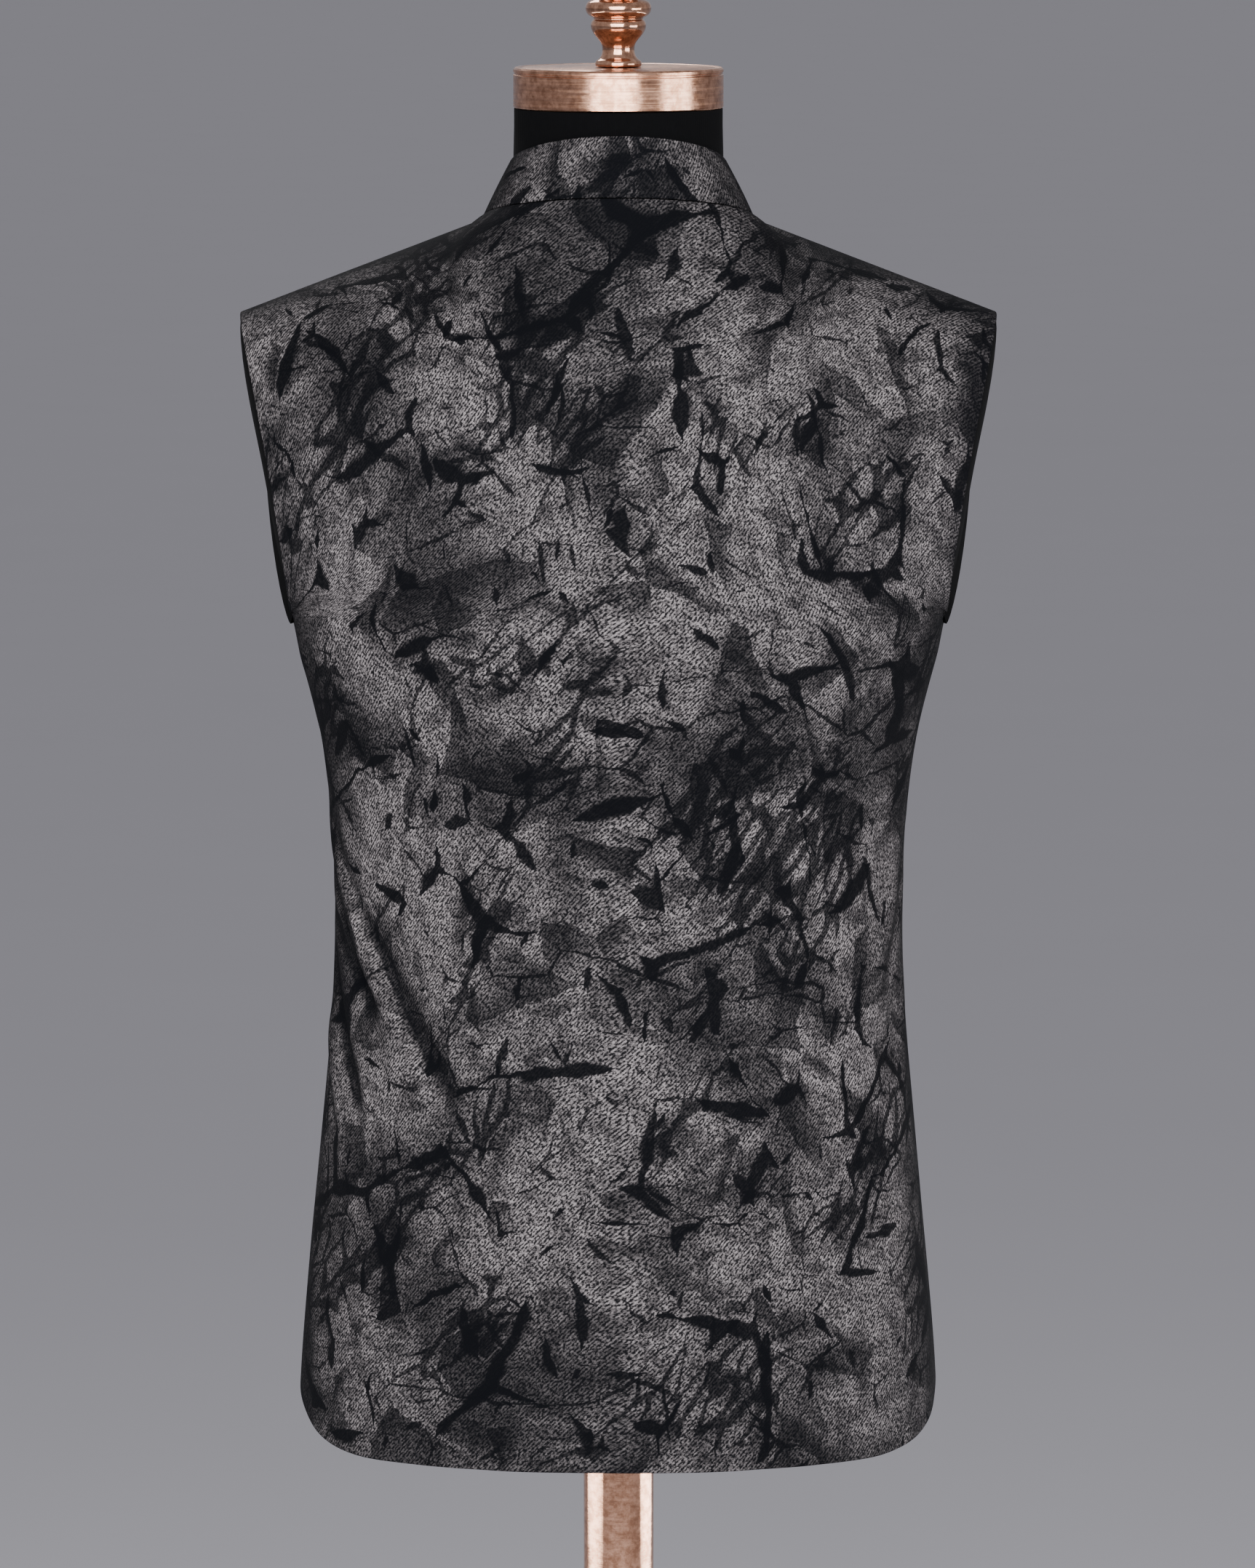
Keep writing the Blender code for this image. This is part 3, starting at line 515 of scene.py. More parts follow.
def near_edges(count, length, first=False, last=False):
    """Shares from 0 to 1, evenly spaced but for the lines beside a turned edge at either end."""
    beside = [step / length for step in EDGE_STEPS]
    middle = np.linspace(beside[-1] if first else 0.0, 1.0 - beside[-1] if last else 1.0, count + 1)
    before = beside[:-1] if first else []
    after = [1.0 - share for share in beside[-2::-1]] if last else []
    return np.array([*before, *middle, *after])


BODY_SHARES = near_edges(116, UNDERARM - HEM, first=True)
UPPER_SHARES = near_edges(58, UPPER_LENGTH, last=True)
HALF_SHARES = near_edges(74, HALF_ARC, last=True)
FORM_BODY_SHARES = np.linspace(0.0, 1.0, 31)
FORM_UPPER_SHARES = np.linspace(0.0, 1.0, 25)
FORM_SHARES = np.array([*np.linspace(0.0, NECK_SHARE, 17), *np.linspace(NECK_SHARE, 1.0, 19)[1:]])


def half_grid(half, columns, body_shares, upper_shares, edge=None, bottom=None):
    """The outer points of part of a half, row by row from its hem or a level bottom to its top edge."""
    made = []
    for column in columns:
        low = hem_height(column, edge) if bottom is None else bottom
        made.append(column_points(half, column, low, body_shares, upper_shares))
    return np.stack(made, 1)


def grid_normals(points, outward):
    """Unit normals of a grid of points, turned to the side of the outward hint."""
    normals = np.cross(np.gradient(points, axis=1), np.gradient(points, axis=0))
    normals /= np.linalg.norm(normals, axis=-1, keepdims=True)
    facing = np.sign((normals * outward).sum(-1, keepdims=True))
    return normals * np.where(facing == 0, 1.0, facing)


def half_normals(points, columns, upper_rows):
    """Normals of a half's grid, square to the side and shoulder seams, so that both halves agree there."""
    normals = grid_normals(points, points * LEVEL)
    shares = np.array([column.share for column in columns])
    seams = np.zeros(points.shape[:2], bool)
    seams[: len(points) - upper_rows, np.abs(shares) > SIDE_SEAM_SHARE] = True
    seams[-1, np.abs(shares) >= NECK_SHARE] = True
    normals[seams, 1] *= SEAM_LEAN
    return normals / np.linalg.norm(normals, axis=-1, keepdims=True)


def grid_lengths(points):
    """How far each point of a grid is from the start of its column, along the cloth."""
    steps = np.linalg.norm(np.diff(points, axis=0), axis=-1)
    return np.concatenate([np.zeros((1, points.shape[1])), np.cumsum(steps, axis=0)])


def fold_rise(half, share, height):
    """How far the drag folds lift the cloth at each place."""
    rise = 0.0 * height
    for fold in FOLDS:
        if fold.half is not half:
            continue
        start = np.array([fold.from_share * HALF_ARC, fold.from_height])
        line = np.array([fold.to_share * HALF_ARC, fold.to_height]) - start
        length = np.linalg.norm(line)
        across = share * HALF_ARC - start[0]
        up = height - start[1]
        along = (across * line[0] + up * line[1]) / length**2
        off = (across * line[1] - up * line[0]) / length
        ends = smooth(along * 3 + 0.5) * smooth((1 - along) * 3 + 0.5)
        rise = rise + fold.rise * np.exp(-((off / fold.width) ** 2)) * ends
    return rise


def swell_rise(half, share, height):
    """The unevenness of the hanging cloth, none where it lies on the shoulders and most at the hem."""
    across = share * HALF_ARC + SWELL_SHIFT * half.sign
    rise = 0.0 * height
    for swell in SWELLS:
        wave = np.sin(2 * math.pi * (across + swell.lean * height) / swell.across + swell.start)
        rise = rise + swell.rise * wave * (0.6 + 0.4 * np.sin(2 * math.pi * height / swell.up + 3 * swell.start))
    free = RESTING_SWELL + (1.0 - RESTING_SWELL) * smooth((REST_HEIGHT - height) / SWELL_EASE)
    return rise * free * (1.0 + FLARE * smooth((FLARE_HEIGHT - height) / FLARE_LENGTH))


def placket_depth(x):
    """1 along the centre front and 0 once the cloth is back on the general surface."""
    return 1.0 - smooth((np.abs(x) - LAYER_START) / LAYER_EASE)


def link(name, mesh, material):
    """Makes an object from a mesh, smooth all over."""
    mesh.materials.append(material)
    mesh.shade_smooth()
    made = bpy.data.objects.new(name, mesh)
    bpy.context.scene.collection.objects.link(made)
    return made


def to_mesh(bm, name):
    """A new mesh from what is being built, which is then let go."""
    mesh = bpy.data.meshes.new(name)
    bm.to_mesh(mesh)
    bm.free()
    return mesh


def shell(name, points, normals, wall, from_edge, grain, material):
    """A closed wall of cloth whose edges are turned in a half round. The grain is its place on the flat cloth."""
    radius = wall / 2
    inset = radius - np.sqrt(np.maximum(radius**2 - np.maximum(radius - from_edge, 0.0) ** 2, 0.0))
    outer = points - normals * inset[..., None]
    inner = points - normals * (wall - inset)[..., None]
    rows, columns = points.shape[:2]
    outside = np.arange(rows * columns).reshape(rows, columns)
    inside = outside.copy()
    inside[1:-1, 1:-1] = rows * columns + np.arange((rows - 2) * (columns - 2)).reshape(rows - 2, columns - 2)
    places = np.concatenate([outer.reshape(-1, 3), inner[1:-1, 1:-1].reshape(-1, 3)])
    places[:, 2] += NAPE_HEIGHT
    flat = np.concatenate([grain.reshape(-1, 2), grain[1:-1, 1:-1].reshape(-1, 2)]) * MM
    corners = []
    for grid, order in ((outside, (0, 1, 2, 3)), (inside, (3, 2, 1, 0))):
        quads = [grid[:-1, :-1], grid[:-1, 1:], grid[1:, 1:], grid[1:, :-1]]
        corners.append(np.stack([quads[i].ravel() for i in order], 1))
    faces = np.concatenate(corners)
    mesh = bpy.data.meshes.new(name)
    mesh.from_pydata((places * MM).tolist(), [], faces.tolist())
    layer = mesh.uv_layers.new(name="Grain")
    layer.data.foreach_set("uv", flat[faces.ravel()].astype(np.float32).ravel())
    bm = bmesh.new()
    bm.from_mesh(mesh)
    bmesh.ops.recalc_face_normals(bm, faces=bm.faces[:])
    bm.to_mesh(mesh)
    bm.free()
    return link(name, mesh, material)


def place(made, slot, *nodes):
    """The piece stands for its CAD nodes and moves with the one body. The slot is not used."""
    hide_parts(*nodes)
    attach(made, "root")


def panel(name, half, columns, side=1.0, edge=None, under=False):
    """One panel of the jacket's body, from hem to neckline and shoulder, with its folds."""
    cloth = bpy.context.scene.jacket_cloth
    points = half_grid(half, columns, BODY_SHARES, UPPER_SHARES, edge=edge)
    lengths = grid_lengths(points)
    normals = half_normals(points, columns, len(UPPER_SHARES) - 1)
    shares = np.array([column.share for column in columns])[None, :]
    folds = fold_rise(half, side * shares, points[..., 2])
    relief = (folds + swell_rise(half, side * shares, points[..., 2])) * cloth.relief
    across = shares * HALF_ARC
    sides = HALF_ARC - np.abs(across)
    relief = relief * smooth(sides / SIDE_SEAM_EASE + 0.25)
    if half is FRONT:
        relief = relief * (1.0 - placket_depth(points[..., 0]))
    points = points + normals * relief[..., None]
    if under:
        points = points - normals * LAYER_STEP * placket_depth(points[..., :1])
    from_edge = np.minimum(np.minimum(lengths, lengths[-1] - lengths), np.where(sides < 0, 0, sides))
    if edge is not None:
        from_front = np.array([HALF_ARC if c.across is None else c.across - edge for c in columns])
        from_edge = np.minimum(from_edge, from_front[None, :])
    from_edge[:, [0, -1]] = 0.0
    up = lengths - lengths[len(BODY_SHARES) - 1]
    right = -half.sign * side * across + 0.0 * up
    grain = np.stack([right + PANEL_PRINT * half.sign + FRONT_PRINT * (half.sign < 0) * side, up], -1)
    turn = np.array([side, 1.0, 1.0])
    made = shell(name, points * turn, normals * turn, cloth.wall / MM, from_edge, grain, charcoal_twill())
    # Painted shade: how deep each fold trough is, kept to darken its colour
    crease_shade = np.clip(-folds / FULL_CREASE_SHADE, 0.0, 1.0)
    layer = made.data.attributes.new("PaintedCreaseShade", "FLOAT", "POINT")
    layer.data.foreach_set("value", np.concatenate([crease_shade.ravel(), crease_shade[1:-1, 1:-1].ravel()]).astype(np.float32))
    return made


def mirrored(shares):
    """The same columns on both sides of the middle one."""
    return [Column(-share) for share in shares[:0:-1]] + [Column(share) for share in shares]


def collar_top(turn):
    """Points of the collar's upper edge."""
    depth = np.where(np.cos(turn) > 0, COLLAR_BACK, COLLAR_FRONT)
    x = COLLAR_HALF_WIDTH * np.sin(turn)
    y = COLLAR_CENTRE + depth * np.cos(turn)
    back_off = COLLAR_CENTRE + COLLAR_BACK - y
    z = COLLAR_RISE - COLLAR_TILT * back_off
    z = z - COLLAR_FRONT_DROP * (back_off / (COLLAR_BACK + COLLAR_FRONT)) ** 4
    return np.stack([x, y, z], -1)


def collar_point(turn, share):
    """Points of the collar's outside, the share being 0 at the neckline and 1 at its upper edge."""
    share = np.asarray(share)[..., None]
    return neckline(turn) * (1.0 - share) + collar_top(turn) * share


def make_collar():
    """The stand, with rounded ends at the centre front."""
    end = math.pi - COLLAR_OPENING / NECK_HALF_WIDTH
    quarter = near_edges(100, end * NECK_HALF_WIDTH, last=True) * end
    turns = np.concatenate([-quarter[:0:-1], quarter])
    inward = np.clip(COLLAR_CORNER - (end - np.abs(turns)) * NECK_HALF_WIDTH, 0.0, COLLAR_CORNER)
    slant = np.linalg.norm(collar_top(0.0) - neckline(0.0))
    cut = (COLLAR_CORNER - np.sqrt(COLLAR_CORNER**2 - inward**2)) / slant
    rows = near_edges(12, slant, first=True, last=True)
    shares = rows[:, None] * (1.0 - cut)[None, :]
    around = np.broadcast_to(turns, shares.shape)
    points = collar_point(around, shares)
    points[..., 2] += SEAM_GAP
    normals = grid_normals(points, points * LEVEL - np.array([0.0, NECK_CENTRE, 0.0]))
    bow = (COLLAR_BOW + COLLAR_WAVER * np.sin(7 * around + 1.0)) * np.sin(math.pi * shares)
    points = points + normals * bow[..., None]
    up = shares * slant
    from_end = (end - np.abs(around)) * NECK_HALF_WIDTH
    from_edge = np.minimum(np.minimum(up, (1.0 - cut)[None, :] * slant - up), from_end)
    grain = np.stack([-around * NECK_HALF_WIDTH + COLLAR_PRINT[0], up + COLLAR_PRINT[1]], -1)
    # The stand takes a copy of the twill with painted shade, which shows less of its pale yarn and so is darker
    darker = charcoal_twill("shaded_worsted_twill", 0.70)
    return shell("stand_collar", points, normals, COLLAR_WALL, from_edge, grain, darker)


def bridge(bm, lower, upper):
    """The faces between two rings with as many points, or between a ring and a single point."""
    count = max(len(lower), len(upper))
    faces = []
    for i in range(count):
        j = (i + 1) % count
        corners = [lower[i % len(lower)], lower[j % len(lower)], upper[j % len(upper)], upper[i % len(upper)]]
        faces.append(bm.faces.new(list(dict.fromkeys(corners))))
    return faces


def ring_at(bm, places):
    """New points, given in millimetres."""
    return [bm.verts.new(Vector(spot) * MM) for spot in places]


def turned(name, profile, sides, material, base=0.0, to_world=None):
    """A closed solid turned round the vertical from a profile of radius and height."""
    bm = bmesh.new()
    angles = [2 * math.pi * i / sides for i in range(sides)]
    rings = []
    for radius, height in profile:
        around = angles if radius else angles[:1]
        rings.append(ring_at(bm, [(radius * math.cos(a), radius * math.sin(a), height + base) for a in around]))
    for lower, upper in zip(rings, rings[1:]):
        bridge(bm, lower, upper)
    bmesh.ops.recalc_face_normals(bm, faces=bm.faces[:])
    if to_world is not None:
        bm.transform(to_world)
    made = link(name, to_mesh(bm, name), material)
    made.data.set_sharp_from_angle(angle=math.radians(40))
    return made


def apply(made, kind, **settings):
    """Adds a modifier with its settings and applies it."""
    modifier = made.modifiers.new(kind.title(), kind)
    for key, value in settings.items():
        setattr(modifier, key, value)
    shown = bpy.context.evaluated_depsgraph_get()
    old = made.data
    made.data = bpy.data.meshes.new_from_object(made.evaluated_get(shown))
    made.modifiers.clear()
    bpy.data.meshes.remove(old)


def front_face(height):
    """A place on the centre front at a height, and the way the cloth faces there."""
    shares = np.linspace(0.0, 1.0, 201)
    middle = column_points(FRONT, Column(0.0), HEM, shares, shares)
    i = int(np.argmin(np.abs(middle[:, 2] - height)))
    up = unit(middle[i + 1] - middle[i - 1])
    return middle[i], np.array([0.0, -up[2], up[1]])


def sewn_button():
    """The mesh of one button lying flat: a dished disc with four holes, and the thread through them."""
    polyester = black_button()
    disc = turned("button", BUTTON_PROFILE, 48, polyester)
    hole = [(radius, HOLE_FLOOR) for radius in (0.0, HOLE_RADIUS)]
    hole += [(radius, HOLE_CUTTER_TOP) for radius in (HOLE_RADIUS, 0.0)]
    for across in (-1, 1):
        for up in (-1, 1):
            spot = Matrix.Translation((across * HOLE_SPACING * MM, up * HOLE_SPACING * MM, 0.0))
            cutter = turned("hole", hole, 20, polyester, to_world=spot)
            apply(disc, "BOOLEAN", operation="DIFFERENCE", object=cutter, solver="EXACT")
            bpy.data.objects.remove(cutter)
    bm = bmesh.new()
    bm.from_mesh(disc.data)
    for across in (-1, 1):
        for offset in (-STITCH_OFFSET, STITCH_OFFSET):
            thread(bm, across * HOLE_SPACING + offset)
    for face in bm.faces:
        face.smooth = True
    bm.to_mesh(disc.data)
    bm.free()
    disc.data.materials.append(black_thread())
    disc.data.set_sharp_from_angle(angle=math.radians(40))
    return disc


def thread(bm, across):
    """One stitch of thread over the button's face, from hole to hole."""
    rings = []
    for step in range(13):
        turn = math.pi * step / 12
        up = -HOLE_SPACING * math.cos(turn)
        height = STITCH_START + STITCH_RISE * math.sin(turn) ** 0.7
        slope = math.pi / 2 - turn
        places = []
        for i in range(8):
            out = THREAD_RADIUS * math.cos(2 * math.pi * i / 8)
            side = THREAD_RADIUS * math.sin(2 * math.pi * i / 8)
            places.append((across + side, up - out * math.sin(slope), height + out * math.cos(slope)))
        rings.append(ring_at(bm, places))
    for lower, upper in zip(rings, rings[1:]):
        for face in bridge(bm, lower, upper):
            face.material_index = 1


def form_half(half):
    """The form's surface under one half of the jacket, from its bottom to the neckline and shoulder seams."""
    columns = mirrored(FORM_SHARES)
    points = half_grid(half, columns, FORM_BODY_SHARES, FORM_UPPER_SHARES, bottom=FORM_BOTTOM)
    lower = smooth((REST_HEIGHT - points[..., 2:]) / (REST_HEIGHT - FREE_HEIGHT))
    clearance = WALL + REST_GAP + (WAIST_CLEARANCE - WALL - REST_GAP) * lower
    if half is FRONT:
        clearance = clearance + PLACKET_CLEARANCE * placket_depth(points[..., :1] * 0.94)
    normals = half_normals(points, columns, len(FORM_UPPER_SHARES) - 1)
    return points - normals * clearance, [column.share for column in columns]


def make_torso():
    """The whole form: both halves, a domed plate in each armhole, the neck and the bottom."""
    back, shares = form_half(BACK)
    front, _ = form_half(FRONT)
    bm = bmesh.new()
    body = len(FORM_BODY_SHARES) - 1
    top = len(back) - 1
    last = len(shares) - 1
    behind, before = ([ring_at(bm, row) for row in grid] for grid in (back, front))
    for i in range(body + 1):
        for j in (0, last):
            before[i][j] = behind[i][j]
    for j in range(last + 1):
        if abs(shares[j]) >= NECK_SHARE - 1e-9:
            before[top][j] = behind[top][j]
    for skin in (behind, before):
        for lower, upper in zip(skin, skin[1:]):
            for j in range(last):
                bm.faces.new((lower[j], lower[j + 1], upper[j + 1], upper[j]))
    for j in (0, last):
        loop = [behind[i][j] for i in range(body, top + 1)] + [before[i][j] for i in range(top - 1, body, -1)]
        arm_plate(bm, loop, 1.0 if j else -1.0)
    neck = [j for j in range(last + 1) if abs(shares[j]) <= NECK_SHARE + 1e-9]
    ring = [behind[top][j] for j in neck] + [before[top][j] for j in reversed(neck[1:-1])]
    turns = [neck_turn(shares[j]) for j in neck] + [math.pi - neck_turn(shares[j]) for j in reversed(neck[1:-1])]
    neck_rings(bm, ring, np.array(turns))
    round_bottom(bm, behind[0] + before[0][last - 1 : 0 : -1])
    bmesh.ops.delete(bm, geom=[v for v in bm.verts if not v.link_faces], context="VERTS")
    bmesh.ops.recalc_face_normals(bm, faces=bm.faces[:])
    bm.transform(Matrix.Translation((0.0, 0.0, NAPE_HEIGHT * MM)))
    made = link("torso", to_mesh(bm, "torso"), black_jersey())
    made.data.set_sharp_from_angle(angle=math.radians(60))
    return made


def arm_plate(bm, loop, side):
    """A shallow dome that closes an armhole of the form, behind the padded edge."""
    middle = sum((v.co for v in loop), Vector()) / len(loop)
    ring = loop
    for step in range(1, ARM_PLATE_RINGS):
        turn = step / ARM_PLATE_RINGS * math.pi / 2
        out = Vector((side * ARM_PLATE_BULGE * math.sin(turn) ** 1.4 * MM, 0.0, 0.0))
        inner = [bm.verts.new(middle + (v.co - middle) * math.cos(turn) + out) for v in loop]
        bridge(bm, ring, inner)
        ring = inner
    bridge(bm, ring, [bm.verts.new(middle + Vector((side * ARM_PLATE_BULGE * MM, 0.0, 0.0)))])


def neck_rings(bm, ring, turns):
    """The neck from the neckline up, inside the collar and then straight to its flat top."""
    for share in NECK_SHARES:
        shares = np.full(len(turns), share)
        outside = collar_point(turns, shares)
        along = collar_point(turns + 0.01, shares) - outside
        up = collar_point(turns, shares + 0.01) - outside
        normals = np.cross(up, along)
        normals /= np.linalg.norm(normals, axis=1, keepdims=True)
        normals *= np.sign((normals * (outside - np.array([0.0, NECK_CENTRE, 0.0]))).sum(1, keepdims=True))
        upper = ring_at(bm, outside - normals * COLLAR_CLEARANCE)
        bridge(bm, ring, upper)
        ring = upper
    for height in (NECK_TOP - 10.0, NECK_TOP - 5.0, NECK_TOP):
        upper = ring_at(
            bm,
            [
                (NECK_TOP_RADIUS * math.sin(turn), COLLAR_CENTRE + NECK_TOP_RADIUS * math.cos(turn), height)
                for turn in turns
            ],
        )
        bridge(bm, ring, upper)
        ring = upper
    bm.faces.new(ring)


def round_bottom(bm, ring):
    """A rounded lower edge and a flat bottom."""
    outline = [Vector((v.co.x, v.co.y, 0.0)) for v in ring]
    for turn in (15.0, 30.0, 45.0, 60.0, 75.0, 90.0):
        inset = FORM_BOTTOM_ROUND * (1.0 - math.cos(math.radians(turn)))
        height = FORM_BOTTOM - FORM_BOTTOM_ROUND * math.sin(math.radians(turn))
        pulled = [flat * (1.0 - inset * MM / flat.length) for flat in outline]
        lower = [bm.verts.new((flat.x, flat.y, height * MM)) for flat in pulled]
        bridge(bm, ring, lower)
        ring = lower
    bm.faces.new(ring)


def linear(code):
    """An sRGB colour in hex as linear red, green and blue."""
    channels = [int(code[i : i + 2], 16) / 255 for i in (0, 2, 4)]
    return tuple(c / 12.92 if c <= 0.04045 else ((c + 0.055) / 1.055) ** 2.4 for c in channels)


def wire(tree, node, inputs):
    """Links each input from a socket or sets it to a value. Inputs come by name or in the node's own order."""
    for socket, value in inputs.items() if isinstance(inputs, dict) else enumerate(inputs):
        if isinstance(value, bpy.types.NodeSocket):
            tree.links.new(value, node.inputs[socket])
        else:
            node.inputs[socket].default_value = value


def add(tree, kind, inputs=(), **settings):
    """Adds a node with its settings and inputs, and gives its outputs."""
    node = tree.nodes.new(kind)
    for key, value in settings.items():
        setattr(node, key, value)
    wire(tree, node, inputs)
    return node.outputs


def new_material(name):
    """An empty material, its node tree and its shader."""
    material = bpy.data.materials.new(name)
    material.use_nodes = True
    return material, material.node_tree, material.node_tree.nodes["Principled BSDF"]


def crumpled(tree, crumple, leant):
    """How much of the pale yarn one size of facet leaves bare."""
    facet = add(tree, "ShaderNodeTexVoronoi", {"Vector": leant, "Scale": 1 / crumple.size}, voronoi_dimensions="2D")
    away = add(tree, "ShaderNodeVectorMath", (leant, facet["Position"]), operation="SUBTRACT")[0]
    downhill = add(tree, "ShaderNodeVectorMath", (facet["Color"], (0.5, 0.5, 0.5)), operation="SUBTRACT")[0]
    fall = add(tree, "ShaderNodeVectorMath", (away, downhill), operation="DOT_PRODUCT")["Value"]
    return add(
        tree, "ShaderNodeMapRange",
        (fall, crumple.start * crumple.size, crumple.end * crumple.size, 1.0, crumple.left_bare),
        interpolation_type="SMOOTHSTEP",
    )[0]


def stroked(tree, stroke, leant, smudge):
    """How much of the pale yarn one kind of stroke leaves bare. The strokes gather where the smudge is dark."""
    crack = add(
        tree, "ShaderNodeTexVoronoi", {"Vector": leant, "Scale": 1 / stroke.size},
        voronoi_dimensions="2D", feature="DISTANCE_TO_EDGE",
    )["Distance"]
    swelling = add(
        tree, "ShaderNodeTexNoise", {"Vector": leant, "Scale": 1 / stroke.patch, "Detail": 1.5, "Roughness": 0.5},
        noise_dimensions="2D",
    )["Fac"]
    gathered = add(tree, "ShaderNodeMath", (smudge, -GATHERING, swelling), operation="MULTIPLY_ADD")[0]
    width = add(tree, "ShaderNodeMapRange", (gathered, stroke.start, FULL_SWELLING, 0.0005, stroke.width))[0]
    beside = add(tree, "ShaderNodeMath", (crack, width), operation="DIVIDE")[0]
    return add(
        tree, "ShaderNodeMapRange", (beside, 0.5, 1.0, stroke.left_bare, 1.0), interpolation_type="SMOOTHSTEP"
    )[0]


def printed(tree, grain, unshaded_share):
    """The print, with painted shade: how much of the pale yarn is left bare. Each scale is one over the size of its
    motif in metres.
    """
    # The cloth's place sways a little and frays finely, so that no line stays straight or smooth
    sway = add(
        tree, "ShaderNodeTexNoise", {"Vector": grain, "Scale": 1 / 0.110, "Detail": 1.0}, noise_dimensions="2D"
    )["Color"]
    swayed = add(tree, "ShaderNodeVectorMath", (sway, (0.035, 0.035, 0.0), grain), operation="MULTIPLY_ADD")[0]
    fray = add(
        tree, "ShaderNodeTexNoise", {"Vector": grain, "Scale": 1 / 0.014, "Detail": 3.0, "Roughness": 0.6},
        noise_dimensions="2D",
    )["Color"]
    frayed = add(tree, "ShaderNodeVectorMath", (fray, (0.006, 0.006, 0.0), swayed), operation="MULTIPLY_ADD")[0]
    smudge = add(
        tree, "ShaderNodeTexNoise", {"Vector": swayed, "Scale": 1 / 0.105, "Detail": 6.0, "Roughness": 0.58},
        noise_dimensions="2D",
    )["Fac"]
    # A last argument below 1 is painted shade over the whole piece
    bare = add(
        tree, "ShaderNodeMapRange", (smudge, 0.36, 0.58, 0.26 * unshaded_share, unshaded_share), interpolation_type="SMOOTHSTEP"
    )[0]
    darker = []
    for motif in (*CRUMPLES, *STROKES):
        leant = add(
            tree, "ShaderNodeMapping",
            {"Vector": frayed, "Rotation": (0.0, 0.0, math.radians(motif.turn)), "Scale": (1.0, motif.stretch, 1.0)},
            vector_type="TEXTURE",
        )[0]
        if isinstance(motif, Crumple):
            darker.append(crumpled(tree, motif, leant))
        else:
            darker.append(stroked(tree, motif, leant, smudge))
    # The ground is rubbed pale in specks and clouds
    rubbed = add(
        tree, "ShaderNodeTexNoise", {"Vector": frayed, "Scale": 1 / 0.016, "Detail": 6.0, "Roughness": 0.85},
        noise_dimensions="2D",
    )["Fac"]
    # The colour is darker toward the hem, painted shade darkens the fold troughs, and painted shade darkens the cloth
    # where it turns away from view, toward its outlines
    up_cloth = add(tree, "ShaderNodeSeparateXYZ", (grain,))["Y"]
    # Painted shade in the fold troughs, read from the panels' points
    crease_shade = add(tree, "ShaderNodeAttribute", attribute_name="PaintedCreaseShade")["Fac"]
    # Painted shade toward the outlines, where the cloth turns away from view
    slant = add(tree, "ShaderNodeLayerWeight", {"Blend": 0.5})["Facing"]
    for value, start, end, left_at_start, left_at_end in (
        (rubbed, 0.38, 0.60, 0.38, 1.25),
        (up_cloth, -0.50, -0.34, 0.62, 1.0),
        (crease_shade, 0.0, 1.0, 1.0, 0.10),
        (slant, 0.32, 0.85, 1.0, 0.16),
    ):
        darker.append(add(tree, "ShaderNodeMapRange", (value, start, end, left_at_start, left_at_end))[0])
    for share in darker:
        bare = add(tree, "ShaderNodeMath", (bare, share), operation="MULTIPLY")[0]
    return bare


def charcoal_twill(name="printed_worsted_twill", unshaded_share=1.0):
    """Worsted twill, woven of near-black and pale grey yarn and printed with a crumpled, crackled ground.

    The pale yarn shows as broken diagonal lines where the print leaves it bare, so the cloth reads as mottled
    grey with dark creases and matt. Painted shade darkens the fold troughs and the cloth where it turns away from
    view, toward its outlines. The last argument scales how much of the pale yarn shows; below 1 it is painted shade.
    """
    if name in bpy.data.materials:
        return bpy.data.materials[name]
    cloth = bpy.context.scene.jacket_cloth
    material, tree, shader = new_material(name)
    grain = add(tree, "ShaderNodeUVMap", uv_map="Grain")["UV"]
    bare = printed(tree, grain, unshaded_share)
    # The weave. The real lines are 1.45 mm apart, too fine for the render, so they are drawn a little coarser.
    period = cloth.twill_spacing
    across_twill = add(tree, "ShaderNodeMapping", {"Vector": grain, "Rotation": (0.0, 0.0, math.radians(42.0))})[0]
    line = add(
        tree, "ShaderNodeTexWave",
        {"Vector": across_twill, "Scale": WAVE / period, "Distortion": 2.2, "Detail": 2.0, "Detail Scale": 5.0},
        wave_type="BANDS", bands_direction="X", wave_profile="SIN",
    )["Fac"]
    along_yarn = add(tree, "ShaderNodeMapping", {"Vector": across_twill, "Scale": (1.0, 0.65, 1.0)})[0]
    yarn = add(
        tree, "ShaderNodeTexNoise",
        {"Vector": along_yarn, "Scale": 1.25 / period, "Detail": 1.0, "Roughness": 0.7},
        noise_dimensions="2D",
    )["Fac"]
    raised = add(tree, "ShaderNodeMath", (line, 0.20, yarn), operation="MULTIPLY_ADD")[0]
    pale_yarn = add(tree, "ShaderNodeMapRange", (raised, 0.475, 0.84, 0.03, 1.0))[0]
    shown = add(tree, "ShaderNodeMath", (pale_yarn, bare), operation="MULTIPLY", use_clamp=True)[0]
    bump = add(tree, "ShaderNodeBump", {"Height": raised, "Strength": 0.55, "Distance": 0.0004})["Normal"]
    colour = add(
        tree, "ShaderNodeMix", {0: shown, 6: (*cloth.dark_yarn, 1.0), 7: (*cloth.pale_yarn, 1.0)}, data_type="RGBA"
    )[2]
    wire(tree, shader, {"Base Color": colour, "Normal": bump, "Roughness": 0.86, "Specular IOR Level": 0.06})
    return material


